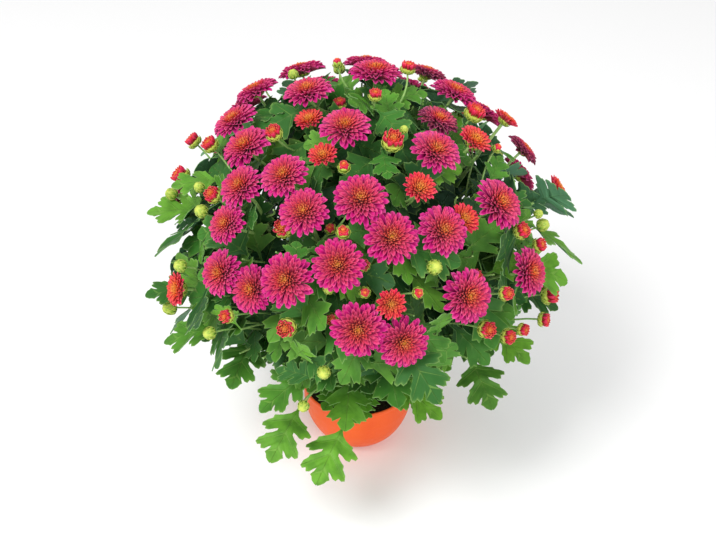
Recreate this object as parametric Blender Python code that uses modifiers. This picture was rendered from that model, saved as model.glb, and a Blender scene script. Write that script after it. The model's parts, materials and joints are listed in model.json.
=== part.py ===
"""A pot chrysanthemum: a round pot of soil, six leafy plants grown together, and their double blooms.

Metres, +Z up. The origin is the middle of the pot's flat base. A place on the crown is given by its
bearing round the pot (0 faces the front, which is -Y, and 90 is +X) and its fall from the top.
"""

import math
import random

import bmesh
import bpy
from mathutils import Matrix, Vector

# The pot and its soil
POT_HEIGHT = 0.066
POT_WALL = 0.0022
POT_PROFILE = ((0.0550, 0.066), (0.0542, 0.046), (0.0510, 0.030), (0.0450, 0.016), (0.0375, 0.006),
               (0.0310, 0.0))
TURN_STEPS = 18
DRAIN_HOLES = 4
DRAIN_RADIUS = 0.0035
DRAIN_RING = 0.018
SOIL_TOP = 0.056
SOIL_RINGS = (0.016, 0.034)
SOIL_LUMP = 0.0007
SOIL_WAVES = (130, 110, 210)
HOLE_SIDES = 8
GAP = 0.0003
WELD = 0.00001

# The crown, a ball a little lower than it is wide
CROWN_RADIUS = 0.178
CROWN_RISE = 0.165
CROWN_CENTRE = 0.232

# The plants: one in the middle, in a cone of its own, and five round it, each in its own wedge
OUTER_PLANTS = 5
OUTER_RING = 0.026
CONE_ANGLE = math.radians(24)
CONE_FOOT = 0.100
STEM_DEPTH = 0.026
STEM_RADIUS = 0.0030
STALK_RADIUS = 0.0015
STEM_SIDES = 6
STALK_SIDES = 3
LOWEST_FORK = 0.084
REGION_MARGIN = 0.0012
BLOOM_MARGIN = 0.0022
CUP_MARGIN = 0.0002
RIM_CLEARANCE = 0.004
GROUND_CLEARANCE = 0.006

# Full blooms: bearing, fall, reach as a share of the crown, and width in millimetres
FULL_BLOOMS = (
    (155, 12, 1.00, 46), (269, 14, 1.00, 42), (270, 37, 1.00, 41), (141, 34, 1.00, 38), (111, 31, 1.00, 42),
    (349, 18, 1.00, 42), (296, 36, 1.00, 42), (326, 37, 1.00, 39), (310, 45, 1.00, 38), (340, 45, 1.00, 40),
    (313, 56, 1.00, 34), (44, 31, 1.00, 42), (1, 40, 1.00, 43), (11, 51, 1.00, 43), (29, 52, 1.00, 42),
    (56, 53, 1.00, 45), (354, 58, 1.00, 43), (316, 70, 0.98, 39), (327, 71, 0.95, 40), (339, 64, 1.00, 44),
    (0, 76, 1.00, 44), (12, 81, 1.00, 42), (32, 72, 1.00, 44), (58, 77, 1.00, 42), (102, 60, 1.00, 34),
    (80, 25, 0.93, 36),
)
# Full blooms on the far side, in rows of one fall: the fall, then the bearings
FAR_ROWS = ((36, (176, 210, 241)), (58, (128, 160, 194, 226)), (80, (116, 143, 170, 201, 228, 258)))
FAR_WIDTHS = (42, 40, 43, 39)
# Opening blooms, redder and cupped
OPENING_BLOOMS = (
    (27, 39, 0.97, 28), (69, 36, 1.00, 30), (9, 69, 1.00, 25), (298, 86, 1.00, 31), (338, 27, 0.94, 25),
    (42, 52, 0.92, 28), (110, 52, 1.02, 25), (92, 71, 1.07, 25), (301, 17, 0.92, 26),
)
# Half-open blooms in their green cups, fused to the stalks
CUPS = (
    (23, 24, 1.00, 19), (340, 79, 0.97, 17), (86, 33, 1.03, 18), (270, 63, 1.00, 18), (276, 46, 1.00, 15),
    (304, 28, 1.00, 15), (301, 52, 1.00, 15), (332, 51, 0.93, 16), (127, 17, 1.04, 14), (59, 64, 1.00, 15),
    (66, 73, 1.00, 13), (37, 85, 1.00, 16), (46, 93, 1.00, 14), (68, 102, 1.04, 14), (73, 96, 1.03, 20),
    (45, 77, 1.00, 13), (321, 82, 0.98, 13), (144, 70, 1.03, 15), (208, 70, 1.02, 15), (258, 57, 1.02, 15),
)
# Closed buds on stalks of their own
BUDS = (
    (315, 91, 1.00, 10), (353, 31, 1.00, 10), (351, 91, 1.00, 10), (23, 61, 1.00, 11), (355, 49, 1.00, 11),
    (299, 77, 1.00, 10), (290, 99, 1.03, 12),
)
# Shoots that end in leaves: the place of the tip of the last leaf, and that leaf's length in millimetres
LEAF_SHOOTS = (
    (273, 77, 1.09, 66), (284, 60, 1.06, 50), (287, 95, 1.12, 60), (296, 105, 1.12, 62),
    (318, 114, 1.02, 58), (331, 113, 1.06, 60), (334, 127, 1.24, 64), (348, 130, 1.29, 66),
    (355, 133, 1.00, 56), (12, 110, 0.98, 62), (29, 124, 1.03, 62), (43, 119, 1.12, 60),
    (58, 111, 1.08, 60), (77, 104, 1.09, 58),
    (70, 62, 0.99, 50), (100, 108, 1.06, 60), (125, 100, 1.08, 58), (150, 112, 1.05, 60),
    (171, 103, 1.08, 58), (205, 113, 1.05, 60), (230, 102, 1.08, 58), (256, 110, 1.06, 60),
)
# Leafy twigs without a flower, at the sides and the back: how many, the bearings and the falls that they are
# spread over, how far out they reach, and each leaf's place on the twig's last piece and its length
TWIGS = 20
TWIG_BEARINGS = (52, 306)
TWIG_FALLS = (58, 104)
TWIG_REACH = 0.84
TWIG_LEAVES = ((0.0, 0.066), (0.85, 0.066))
TWIG_SPACING = 0.030
TWIG_TRIES = 12
TWIG_SHIFT = 9
TWIG_SEED = 5

# Flower heads, in shares of the radius: tip radius and height, notch radius and height, from the seat up
FULL_TIERS = ((0.15, 0.00, 0.15, 0.00), (1.00, 0.20, 0.70, 0.23), (0.50, 0.30, 0.50, 0.30),
              (0.80, 0.43, 0.55, 0.40), (0.36, 0.45, 0.36, 0.45), (0.52, 0.64, 0.34, 0.54))
OPENING_TIERS = ((0.20, 0.00, 0.20, 0.00), (1.00, 0.62, 0.72, 0.50), (0.42, 0.46, 0.42, 0.46),
                 (0.62, 0.90, 0.42, 0.68))
CUP_TIERS = ((0.35, 0.00, 0.35, 0.00), (1.00, 0.55, 1.00, 0.55), (0.95, 1.50, 0.80, 1.15))
# Petals round each tier, the tiers, and the height of the eye in the middle
HEAD_SHAPES = {
    "full": (7, FULL_TIERS, 0.52),
    "opening": (6, OPENING_TIERS, 0.60),
    "cup": (4, CUP_TIERS, 1.10),
}
HEAD_HEIGHTS = {"full": 0.64, "opening": 0.90, "cup": 1.50, "bud": 2.10}
TIP_SPREAD = 0.28
LIGHT_PULL = 0.78
HEAD_SUNK = 0.7
HEAD_TURN = 7
FUSED_DEPTH = 0.4

# Leaves: half of the outline, as shares of the length along the midrib and out from it
LEAF_HALF = ((0.00, 0.018), (0.25, 0.022), (0.54, 0.38), (0.54, 0.13), (0.82, 0.30), (0.80, 0.12),
             (0.99, 0.055))
LEAF_RIB = (0.40, 0.68)
LEAF_THICKNESS = 0.0008
LEAF_FOLD = 0.30
LEAF_DROOP = 0.16
LEAF_ANGLE = math.radians(58)
GOLDEN_TURN = math.radians(137.5)
LEAF_TRIES = 8
LEAF_MIDDLE = 0.6
PETIOLE_SHARE = 0.1
STALK_LEAF_PLACES = (0.67,)
STALK_LEAF_LENGTH = 0.060
LEAF_SPACING = 0.041
SHOOT_RISE = 0.20
SHOOT_DIP = -0.15
LOW_FALL = 100
SHOOT_JOIN = 0.85
SHOOT_TURNS = (0, 12, -12, 24, -24, 36, -36)

# Stalks: how steeply they may climb from the main stem, and how far they may bend aside
FORK_SLOPES = (0.9, 0.6, 1.2, 0.3, 1.6)
FORK_BELOW_TOP = 12
STALK_BENDS = (0, 0.012, -0.012, 0.024, -0.024, 0.036, -0.036)
STALK_SHARES = (0, 0.45, 0.86, 1)
LEADER_SHARES = (0, 0.18, 0.36, 0.54, 0.72, 0.92, 1)
STALK_PULLS = (0.35, 0.3)
LEADER_PULLS = (0.4, 0.3)
STALK_TAPER = 0.8
STEM_BARE = 0.004
STEM_STEEPNESS = 0.040
PLANT_NAMES = ("plant_middle", "plant_front", "plant_right", "plant_back_right", "plant_back_left",
               "plant_left")

COLOURS = {
    "pot": ((0.86, 0.13, 0.03), 0.42),
    "soil": ((0.035, 0.022, 0.014), 0.95),
    "foliage": ((0.09, 0.27, 0.05), 0.55),
    "full bloom": ((0.72, 0.014, 0.13), 0.6),
    "opening bloom": ((0.75, 0.03, 0.05), 0.6),
}


def material_of(name):
    """A plain material in one of the object's colours."""
    material = bpy.data.materials.get(name) or bpy.data.materials.new(name)
    material.use_nodes = True
    colour, roughness = COLOURS[name]
    shader = material.node_tree.nodes["Principled BSDF"]
    shader.inputs["Base Color"].default_value = (*colour, 1)
    shader.inputs["Roughness"].default_value = roughness
    shader.inputs["Metallic"].default_value = 0
    material.diffuse_color = (*colour, 1)
    return material


def new_object(name, mesh, collection, colour=None):
    """An object of this mesh, in a collection, with its own material where a colour is named."""
    made = bpy.data.objects.new(name, mesh)
    collection.objects.link(made)
    if colour and not mesh.materials:
        mesh.materials.append(material_of(colour))
    return made


def mesh_from(bm, name):
    """A mesh of what a bmesh holds, with its faces turned outwards."""
    bmesh.ops.recalc_face_normals(bm, faces=bm.faces)
    mesh = bpy.data.meshes.new(name)
    bm.to_mesh(mesh)
    bm.free()
    return mesh


def direction(bearing, fall):
    """The unit vector at a bearing and a fall, both in degrees."""
    turn, drop = math.radians(bearing), math.radians(fall)
    return Vector((math.sin(drop) * math.sin(turn), -math.sin(drop) * math.cos(turn), math.cos(drop)))


def crown_point(bearing, fall, reach):
    """A point of the crown's ball, grown or shrunk by its reach."""
    out = direction(bearing, fall)
    return Vector((out.x * CROWN_RADIUS, out.y * CROWN_RADIUS, out.z * CROWN_RISE)) * reach + Vector(
        (0, 0, CROWN_CENTRE))


def bearing_of(point):
    """The bearing of a point round the pot, in degrees."""
    return math.degrees(math.atan2(point.x, -point.y)) % 360


def cone_gap(point):
    """How far a point lies outside the middle plant's cone, negative inside it."""
    out = math.hypot(point.x, point.y)
    return out * math.cos(CONE_ANGLE) - (point.z - CONE_FOOT) * math.sin(CONE_ANGLE)


def plant_of(point):
    """The plant whose space holds a point: 0 in the middle, and 1 to 5 round it."""
    if cone_gap(point) < 0:
        return 0
    return 1 + round(bearing_of(point) / (360 / OUTER_PLANTS)) % OUTER_PLANTS


def room(point, plant):
    """How far a point lies inside the space of its plant."""
    if plant == 0:
        return -cone_gap(point)
    half = 180 / OUTER_PLANTS
    off = (bearing_of(point) - (plant - 1) * 2 * half + 180) % 360 - 180
    return min(cone_gap(point), math.hypot(point.x, point.y) * math.sin(math.radians(half - abs(off))))


def clear_of_pot(point):
    """Whether a point is outside the pot and the soil, and above the ground."""
    over = math.hypot(point.x, point.y) < POT_PROFILE[0][0] + RIM_CLEARANCE
    return point.z > (POT_HEIGHT + RIM_CLEARANCE if over else GROUND_CLEARANCE)


class Head:
    """A flower head: where it sits, the way it faces and the space that it fills."""

    def __init__(self, kind, row):
        bearing, fall, reach, width = row
        self.kind = kind
        self.bloom = kind in ("full", "opening")
        self.margin = BLOOM_MARGIN if self.bloom else CUP_MARGIN
        self.radius = width / 2000
        self.axis = direction(bearing, fall * LIGHT_PULL)
        self.height = self.radius * HEAD_HEIGHTS[kind]
        self.seat = crown_point(bearing, fall, reach) - self.axis * self.height * HEAD_SUNK
        self.turn = math.radians(bearing * HEAD_TURN)

    def stalk_end(self):
        """Where the stalk ends: just under a bloom, or well inside a head that is fused to it."""
        return self.seat + self.axis * (-GAP if self.bloom else self.radius * FUSED_DEPTH)

    def matrix(self):
        """The placing of a head of unit radius whose axis is +Z."""
        facing = self.axis.to_track_quat("Z", "Y").to_matrix().to_4x4()
        spin = Matrix.Rotation(self.turn, 4, "Z")
        return Matrix.Translation(self.seat) @ facing @ spin @ Matrix.Scale(self.radius, 4)

    def clears(self, point, extra=0):
        """Whether a point stays out of the short cylinder that the head fills."""
        margin = self.margin + extra
        offset = point - self.seat
        along = offset.dot(self.axis)
        if not -margin < along < self.height + margin:
            return True
        return (offset - self.axis * along).length > self.radius + margin


def head_mesh(name, petals, tiers, eye):
    """A head of unit radius in one skin: a ball whose rings are pulled out to petal tips and notches."""
    bm = bmesh.new()
    around, rings = 3 * petals, len(tiers) + 1
    bmesh.ops.create_uvsphere(bm, u_segments=around, v_segments=rings, radius=1)
    for vert in bm.verts:
        ring = round((math.pi - math.acos(max(-1, min(1, vert.co.z)))) / math.pi * rings)
        if ring in (0, rings):
            vert.co = Vector((0, 0, tiers[0][1] if ring == 0 else eye))
            continue
        place = round(math.atan2(vert.co.y, vert.co.x) / math.tau * around) % around
        tip_radius, tip_height, notch_radius, notch_height = tiers[ring - 1]
        flat, last = tip_radius == notch_radius, ring == len(tiers)
        petal, corner = divmod(place, 3)
        notch = corner == 2 or flat
        spread = 0.5 if notch else 0 if last else TIP_SPREAD * (2 * corner - 1)
        turn = (petal + spread + ring // 2 * 0.5) * math.tau / petals
        out = notch_radius if notch else tip_radius
        height = notch_height if notch else tip_height
        vert.co = Vector((out * math.cos(turn), out * math.sin(turn), height))
    bmesh.ops.remove_doubles(bm, verts=bm.verts, dist=WELD)
    return mesh_from(bm, name)


def bud_mesh(name):
    """A closed bud of unit radius, a little taller than it is wide."""
    bm = bmesh.new()
    stretch = Matrix.Translation((0, 0, 1)) @ Matrix.Diagonal((1, 1, 1.1, 1))
    bmesh.ops.create_icosphere(bm, subdivisions=1, radius=1, matrix=stretch)
    return mesh_from(bm, name)


def bezier(points, shares):
    """Points at these shares of the way along the curve of four control points."""
    start, first_pull, last_pull, end = points
    found = []
    for share in shares:
        rest = 1 - share
        near = start * rest**3 + first_pull * 3 * rest * rest * share
        found.append(near + last_pull * 3 * rest * share * share + end * share**3)
    return found


def fine_points(path, spacing=0.004):
    """The points of a path with more between them on its straight runs."""
    found = [path[0]]
    for start, end in zip(path, path[1:]):
        parts = max(1, round((end - start).length / spacing))
        found += [start.lerp(end, part / parts) for part in range(1, parts + 1)]
    return found


def tube(name, path, radii, sides, collection):
    """A tapered tube along a path, as a closed mesh with this many sides."""
    ring = bpy.data.curves.new("ring", "CURVE")
    spline = ring.splines.new("POLY")
    spline.points.add(sides - 1)
    spline.use_cyclic_u = True
    for index, knot in enumerate(spline.points):
        turn = math.tau * index / sides
        knot.co = (math.cos(turn), math.sin(turn), 0, 1)
    outline = bpy.data.objects.new("ring", ring)
    collection.objects.link(outline)
    curve = bpy.data.curves.new(name, "CURVE")
    curve.dimensions = "3D"
    curve.bevel_mode = "OBJECT"
    curve.bevel_object = outline
    curve.use_fill_caps = True
    spline = curve.splines.new("POLY")
    spline.points.add(len(path) - 1)
    for index, (knot, point) in enumerate(zip(spline.points, path)):
        share = index / (len(path) - 1)
        knot.co = (*point, 1)
        knot.radius = radii[0] + (radii[1] - radii[0]) * share
    guide = bpy.data.objects.new(name, curve)
    collection.objects.link(guide)
    graph = bpy.context.evaluated_depsgraph_get()
    bm = bmesh.new()
    bm.from_mesh(bpy.data.meshes.new_from_object(guide.evaluated_get(graph)))
    bpy.data.objects.remove(guide)
    bpy.data.objects.remove(outline)
    bmesh.ops.remove_doubles(bm, verts=bm.verts, dist=WELD)
    return new_object(name, mesh_from(bm, name), collection)


def leaf_points(root, along, up, length):
    """The vertices and faces of one blade: its petiole starts at the root, and its tip hangs a little."""
    side = up.cross(along).normalized()
    up = along.cross(side).normalized()

    def place(share, out):
        lift = LEAF_FOLD * abs(out) * (1 - 0.5 * share)
        return (root + along * share * length + side * out * length + up * lift * length
                - Vector((0, 0, LEAF_DROOP * share * share * length)))

    count = len(LEAF_HALF)
    points = [place(share, out * hand) for hand in (1, -1) for share, out in LEAF_HALF]
    points += [place(share, 0) for share in LEAF_RIB]
    low, high = 2 * count, 2 * count + 1
    faces = [(0, count, 1), (count, count + 1, 1), (1, count + 1, low), (high, count - 1, 2 * count - 1)]
    for hand in (0, count):
        half = [(1, low, 2), (2, low, 3), (3, low, high), (3, high, 4), (4, high, 5), (5, high, 6)]
        faces += [tuple(corner if corner >= low else corner + hand for corner in face) for face in half]
    return points, faces


class Plant:
    """One of the plants: its main stem, the stalks that leave it and the leaves that they carry."""

    def __init__(self, number, heads):
        self.number = number
        self.heads = heads
        self.own = [head for head in heads if plant_of(head.seat) == number]
        self.leader_head = max((head for head in self.own if head.bloom), key=lambda head: head.seat.z)
        self.leader = self.leader_path()
        self.stalks = []
        self.blades = []

    def foot(self):
        """Where the main stem stands in the soil."""
        turn = math.radians((self.number - 1) * 360 / OUTER_PLANTS)
        ring = OUTER_RING if self.number else 0
        return Vector((math.sin(turn), -math.cos(turn), 0)) * ring

    def leader_path(self):
        """The main stem, from the bottom of its hole in the soil to its highest bloom."""
        foot, head = self.foot(), self.leader_head
        low = foot + Vector((0, 0, SOIL_TOP - STEM_DEPTH))
        top = foot + Vector((0, 0, SOIL_TOP + STEM_BARE))
        end = head.stalk_end()
        reach = (end - top).length
        outward = (foot + Vector((0, 0, STEM_STEEPNESS))).normalized()
        first_pull, last_pull = (reach * share for share in LEADER_PULLS)
        pulls = (top + outward * first_pull, end - head.axis * last_pull)
        return [low] + bezier((top, *pulls, end), LEADER_SHARES)

    def stalk_path(self, target, axis, heads):
        """A stalk from the main stem to its head, bent aside where another head is in its way."""
        fine = fine_points(self.leader[1:])
        for slope in FORK_SLOPES:

            def missed(place):
                wanted = target.z - slope * (target - fine[place]).xy.length
                return abs(fine[place].z - max(LOWEST_FORK, wanted))

            index = min(range(2, len(fine) - FORK_BELOW_TOP), key=missed)
            start = fine[index]
            ahead = (fine[index + 1] - fine[index - 1]).normalized()
            straight = target - start
            first_pull, last_pull = (straight.length * share for share in STALK_PULLS)
            outward = (straight.normalized() + ahead).normalized() * first_pull
            back = axis * last_pull
            side = straight.cross(Vector((0, 0, 1))).normalized()
            for bend in STALK_BENDS:
                aside = side * bend
                path = bezier((start, start + outward + aside, target - back + aside, target), STALK_SHARES)
                if self.path_clears(path, heads):
                    return path
        return None

    def path_clears(self, path, heads):
        """Whether a stalk keeps clear of the heads that it doesn't carry, and to its own plant's space."""
        fine = fine_points(path)
        if any(room(point, self.number) < REGION_MARGIN for point in fine[3:]):
            return False
        return all(head.clears(point, STALK_RADIUS) for head in heads for point in fine)

    def blade_clears(self, blade, spacing=LEAF_SPACING):
        """Whether a leaf keeps to its plant's space, out of the pot and the heads, and off other leaves."""
        root, along, up, length = blade
        middle = root + along * length * LEAF_MIDDLE
        for other_root, other_along, _, other_length in self.blades:
            other_middle = other_root + other_along * other_length * LEAF_MIDDLE
            if (other_middle - middle).length < spacing:
                return False
        points, faces = leaf_points(*blade)
        inner = [sum((points[corner] for corner in face), Vector()) / 3 for face in faces]
        outer = [point for point in points if (point - root).length > PETIOLE_SHARE * length]
        for point in outer + inner:
            if room(point, self.number) < REGION_MARGIN or not clear_of_pot(point):
                return False
            if not all(head.clears(point) for head in self.heads):
                return False
        return True

    def add_stalks(self):
        """A stalk for each head that the main stem doesn't end in."""
        for head in self.own:
            if head is self.leader_head:
                continue
            others = [other for other in self.heads if other is not head]
            path = self.stalk_path(head.stalk_end(), head.axis, others)
            if path is None:
                print("no clear way for the stalk of a head at", [round(value, 3) for value in head.seat])
                continue
            self.stalks.append((path, head))

    def add_leaf_shoots(self):
        """The shoots that end in a leaf, with the leaf turned aside where it would cross a head."""
        for bearing, fall, reach, length in LEAF_SHOOTS:
            tip = crown_point(bearing, fall, reach)
            if plant_of(tip) != self.number:
                continue
            length /= 1000
            slope = SHOOT_RISE if fall < LOW_FALL else SHOOT_DIP
            for turn in SHOOT_TURNS:
                out = direction(bearing + turn, 90)
                along = (out + Vector((0, 0, slope))).normalized()
                root = tip - along * length + Vector((0, 0, LEAF_DROOP * length))
                path = self.stalk_path(root, along, self.heads)
                if path is None:
                    continue
                blade = (path[-2].lerp(path[-1], SHOOT_JOIN), along, Vector((0, 0, 1)), length)
                if self.blade_clears(blade):
                    self.stalks.append((path, None))
                    self.blades.append(blade)
                    break
            else:
                print("no room for the leaf shoot at", bearing, fall)

    def add_stalk_leaves(self):
        """A leaf on each stalk of a bloom, each a golden turn on from the last."""
        for number, (path, head) in enumerate(self.stalks):
            if head is None or not head.bloom:
                continue
            for share in STALK_LEAF_PLACES:
                index = round(share * (len(path) - 1))
                ahead = (path[index + 1] - path[index - 1]).normalized()
                self.turn_leaf(path[index], ahead, GOLDEN_TURN * (number + index), STALK_LEAF_LENGTH,
                               LEAF_SPACING)

    def turn_leaf(self, place, ahead, first, length, spacing):
        """A leaf on a stalk, turned round it until it fits."""
        across = ahead.orthogonal().normalized()
        for attempt in range(LEAF_TRIES):
            out = Matrix.Rotation(first + attempt * math.tau / LEAF_TRIES, 3, ahead) @ across
            along = (ahead * math.cos(LEAF_ANGLE) + out * math.sin(LEAF_ANGLE)).normalized()
            blade = (place, along, ahead, length)
            if self.blade_clears(blade, spacing):
                self.blades.append(blade)
                return True
        return False

    def add_twig(self, tip, axis, number):
        """A leafy twig to this place; it says whether there was a clear way and room for the leaves."""
        path = self.stalk_path(tip, axis, self.heads)
        if path is None:
            return False
        near, end = path[-2:]
        ahead = (end - near).normalized()
        grown = [self.turn_leaf(near.lerp(end, share), ahead, GOLDEN_TURN * (number + index), length,
                                TWIG_SPACING) for index, (share, length) in enumerate(TWIG_LEAVES)]
        if any(grown):
            self.stalks.append((path, None))
        return any(grown)


def add_twigs(plants):
    """The leafy twigs, spread evenly by the golden turn and then shifted a little until each one fits."""
    rng = random.Random(TWIG_SEED)
    for number in range(TWIGS):
        around = number * GOLDEN_TURN / math.tau % 1
        down = (number + 0.5) / TWIGS
        for _ in range(TWIG_TRIES):
            bearing = TWIG_BEARINGS[0] + (TWIG_BEARINGS[1] - TWIG_BEARINGS[0]) * around
            fall = TWIG_FALLS[0] + (TWIG_FALLS[1] - TWIG_FALLS[0]) * down
            bearing += rng.uniform(-TWIG_SHIFT, TWIG_SHIFT)
            fall += rng.uniform(-TWIG_SHIFT, TWIG_SHIFT)
            tip = crown_point(bearing, fall, TWIG_REACH)
            if plants[plant_of(tip)].add_twig(tip, direction(bearing, fall * LIGHT_PULL), number):
                break
        else:
            print("no room for leafy twig", number)


def add_pot(parts, cutters):
    """The turned pot with its drain holes."""
    inner = [(radius - POT_WALL, max(height, POT_WALL)) for radius, height in POT_PROFILE]
    profile = [(0, POT_WALL)] + inner[::-1] + list(POT_PROFILE) + [(0, 0)]
    pot = turned("pot", profile, parts)
    for hole in range(DRAIN_HOLES):
        turn = math.tau * (hole + 0.5) / DRAIN_HOLES
        bm = bmesh.new()
        bmesh.ops.create_cone(bm, cap_ends=True, segments=HOLE_SIDES, radius1=DRAIN_RADIUS,
                              radius2=DRAIN_RADIUS, depth=4 * POT_WALL)
        cutter = new_object(f"drain_{hole + 1}", mesh_from(bm, "drain"), cutters)
        cutter.location = (DRAIN_RING * math.cos(turn), DRAIN_RING * math.sin(turn), 0)
        cut_from(pot, cutter)


def turned(name, profile, collection):
    """A shape turned round Z from a profile that runs down its outer side."""
    mesh = bpy.data.meshes.new(name)
    mesh.from_pydata([(radius, 0, height) for radius, height in profile],
                     [(place, place + 1) for place in range(len(profile) - 1)], [])
    made = new_object(name, mesh, collection, name)
    screw = made.modifiers.new("turn", "SCREW")
    screw.steps = screw.render_steps = TURN_STEPS
    screw.use_merge_vertices = True
    screw.merge_threshold = 0.0001
    return made


def cut_from(made, cutter):
    """A Boolean that takes a cutter out of a piece."""
    cutter.hide_render = True
    cutter.display_type = "WIRE"
    boolean = made.modifiers.new(cutter.name, "BOOLEAN")
    boolean.operation = "DIFFERENCE"
    boolean.object = cutter


def add_soil(parts, cutters, plants):
    """The soil: it fills the pot, its top is uneven, and each main stem stands in a hole in it."""
    floor = POT_WALL + GAP
    sides = [(radius - POT_WALL - GAP, max(height, floor)) for radius, height in POT_PROFILE[1:]]
    edge = POT_PROFILE[0][0] - POT_WALL - 3 * GAP
    rings = [(radius, SOIL_TOP) for radius in (0, *SOIL_RINGS, edge)]
    profile = rings + sides + [(0, floor)]
    soil = turned("soil", profile, parts)
    graph = bpy.context.evaluated_depsgraph_get()
    soil.data = bpy.data.meshes.new_from_object(soil.evaluated_get(graph))
    soil.modifiers.clear()
    for vert in soil.data.vertices:
        if vert.co.z > SOIL_TOP - GAP:
            across, along, fine = (vert.co.x * SOIL_WAVES[0], vert.co.y * SOIL_WAVES[1],
                                   vert.co.y * SOIL_WAVES[2])
            vert.co.z += SOIL_LUMP * (math.sin(across) * math.cos(along) + math.sin(fine + 1))
    for plant in plants:
        bm = bmesh.new()
        bmesh.ops.create_cone(bm, cap_ends=True, segments=HOLE_SIDES, radius1=STEM_RADIUS + 3 * GAP,
                              radius2=STEM_RADIUS + 3 * GAP, depth=STEM_DEPTH * 2)
        cutter = new_object(f"hole_{plant.number}", mesh_from(bm, "hole"), cutters)
        cutter.location = plant.foot() + Vector((0, 0, SOIL_TOP - GAP))
        cut_from(soil, cutter)


def fuse(name, stem, loose, parts):
    """One solid of a stem and all that crosses it: a Boolean union on their collection, applied."""
    whole = new_object(name, stem.data, parts, "foliage")
    bpy.data.objects.remove(stem)
    boolean = whole.modifiers.new("grown together", "BOOLEAN")
    boolean.operation = "UNION"
    boolean.operand_type = "COLLECTION"
    boolean.collection = loose
    boolean.solver = "MANIFOLD"
    graph = bpy.context.evaluated_depsgraph_get()
    whole.data = bpy.data.meshes.new_from_object(whole.evaluated_get(graph))
    whole.modifiers.clear()
    for piece in list(loose.objects):
        bpy.data.objects.remove(piece)


def leaf(blade, collection):
    """A solid leaf from the points and faces of its blade."""
    points, faces = leaf_points(*blade)
    bm = bmesh.new()
    corners = [bm.verts.new(point) for point in points]
    for face in faces:
        bm.faces.new([corners[corner] for corner in face])
    bmesh.ops.recalc_face_normals(bm, faces=bm.faces)
    bmesh.ops.solidify(bm, geom=bm.faces[:], thickness=LEAF_THICKNESS)
    return new_object("leaf", mesh_from(bm, "leaf"), collection)


def all_heads():
    """Every flower head of the plant, the blooms first."""
    far = [(bearing, fall, 1.0, FAR_WIDTHS[(bearing + fall) % len(FAR_WIDTHS)])
           for fall, bearings in FAR_ROWS for bearing in bearings]
    heads = [Head("full", row) for row in (*FULL_BLOOMS, *far)]
    heads += [Head("opening", row) for row in OPENING_BLOOMS]
    heads += [Head("cup", row) for row in CUPS]
    return heads + [Head("bud", row) for row in BUDS]


def add_blooms(heads, meshes, parts):
    """Each full or opening bloom as an object of its own, seated just off the end of its stalk."""
    counts = {"full": 0, "opening": 0}
    for head in heads:
        if head.bloom:
            counts[head.kind] += 1
            name = f"bloom_{head.kind}_{counts[head.kind]:02d}"
            bloom = new_object(name, meshes[head.kind], parts, f"{head.kind} bloom")
            bloom.matrix_world = head.matrix()


def add_plant(plant, name, meshes, loose, parts):
    """One plant as one solid: stem, stalks, leaves, half-open blooms and buds grown together."""
    stem = tube("stem", plant.leader, (STEM_RADIUS, STALK_RADIUS), STEM_SIDES, loose)
    for path, head in plant.stalks:
        thick = STALK_RADIUS if head is None or head.bloom else STALK_RADIUS * STALK_TAPER
        tube("stalk", path, (thick, thick * STALK_TAPER), STALK_SIDES, loose)
        if head and not head.bloom:
            piece = new_object("head", meshes[head.kind], loose)
            piece.matrix_world = head.matrix()
    for blade in plant.blades:
        leaf(blade, loose)
    fuse(name, stem, loose, parts)


def main():
    """Clears the scene and builds the plant."""
    for old in list(bpy.data.objects):
        bpy.data.objects.remove(old)
    parts = bpy.data.collections.new("pot_chrysanthemum")
    cutters = bpy.data.collections.new("cutters")
    loose = bpy.data.collections.new("loose")
    for made in (parts, cutters, loose):
        bpy.context.scene.collection.children.link(made)

    heads = all_heads()
    plants = [Plant(number, heads) for number in range(OUTER_PLANTS + 1)]
    for plant in plants:
        plant.add_stalks()
        plant.add_leaf_shoots()
        plant.add_stalk_leaves()
    add_twigs(plants)

    add_pot(parts, cutters)
    add_soil(parts, cutters, plants)
    meshes = {kind: head_mesh(kind, *shape) for kind, shape in HEAD_SHAPES.items()}
    meshes["bud"] = bud_mesh("bud")
    add_blooms(heads, meshes, parts)
    for plant, name in zip(plants, PLANT_NAMES):
        add_plant(plant, name, meshes, loose, parts)
    print("leaves", sum(len(plant.blades) for plant in plants))


main()
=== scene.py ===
# %% [markdown]
# # A pot chrysanthemum over its packed model
#
# The packed model holds the plant's real places and sizes: a pot of soil, six leafy plants and 48 blooms, all
# as plain faceted solids. This script keeps every one of those places and puts finer pieces over them: petals
# with a hollow and a curl, cut leaves with veins, scaly buds, a smooth turned pot and crumbly soil.
#
# It could be one big sculpture, but a plant is grown by rules, so here it is grown by rules too. The same few
# tables and functions that placed the solids place the finer pieces, and everything random has a seed.

# %% Load the packed model
import json
import math
import random

import bmesh
import bpy
import numpy as np
from mathutils import Matrix, Vector, noise

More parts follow.
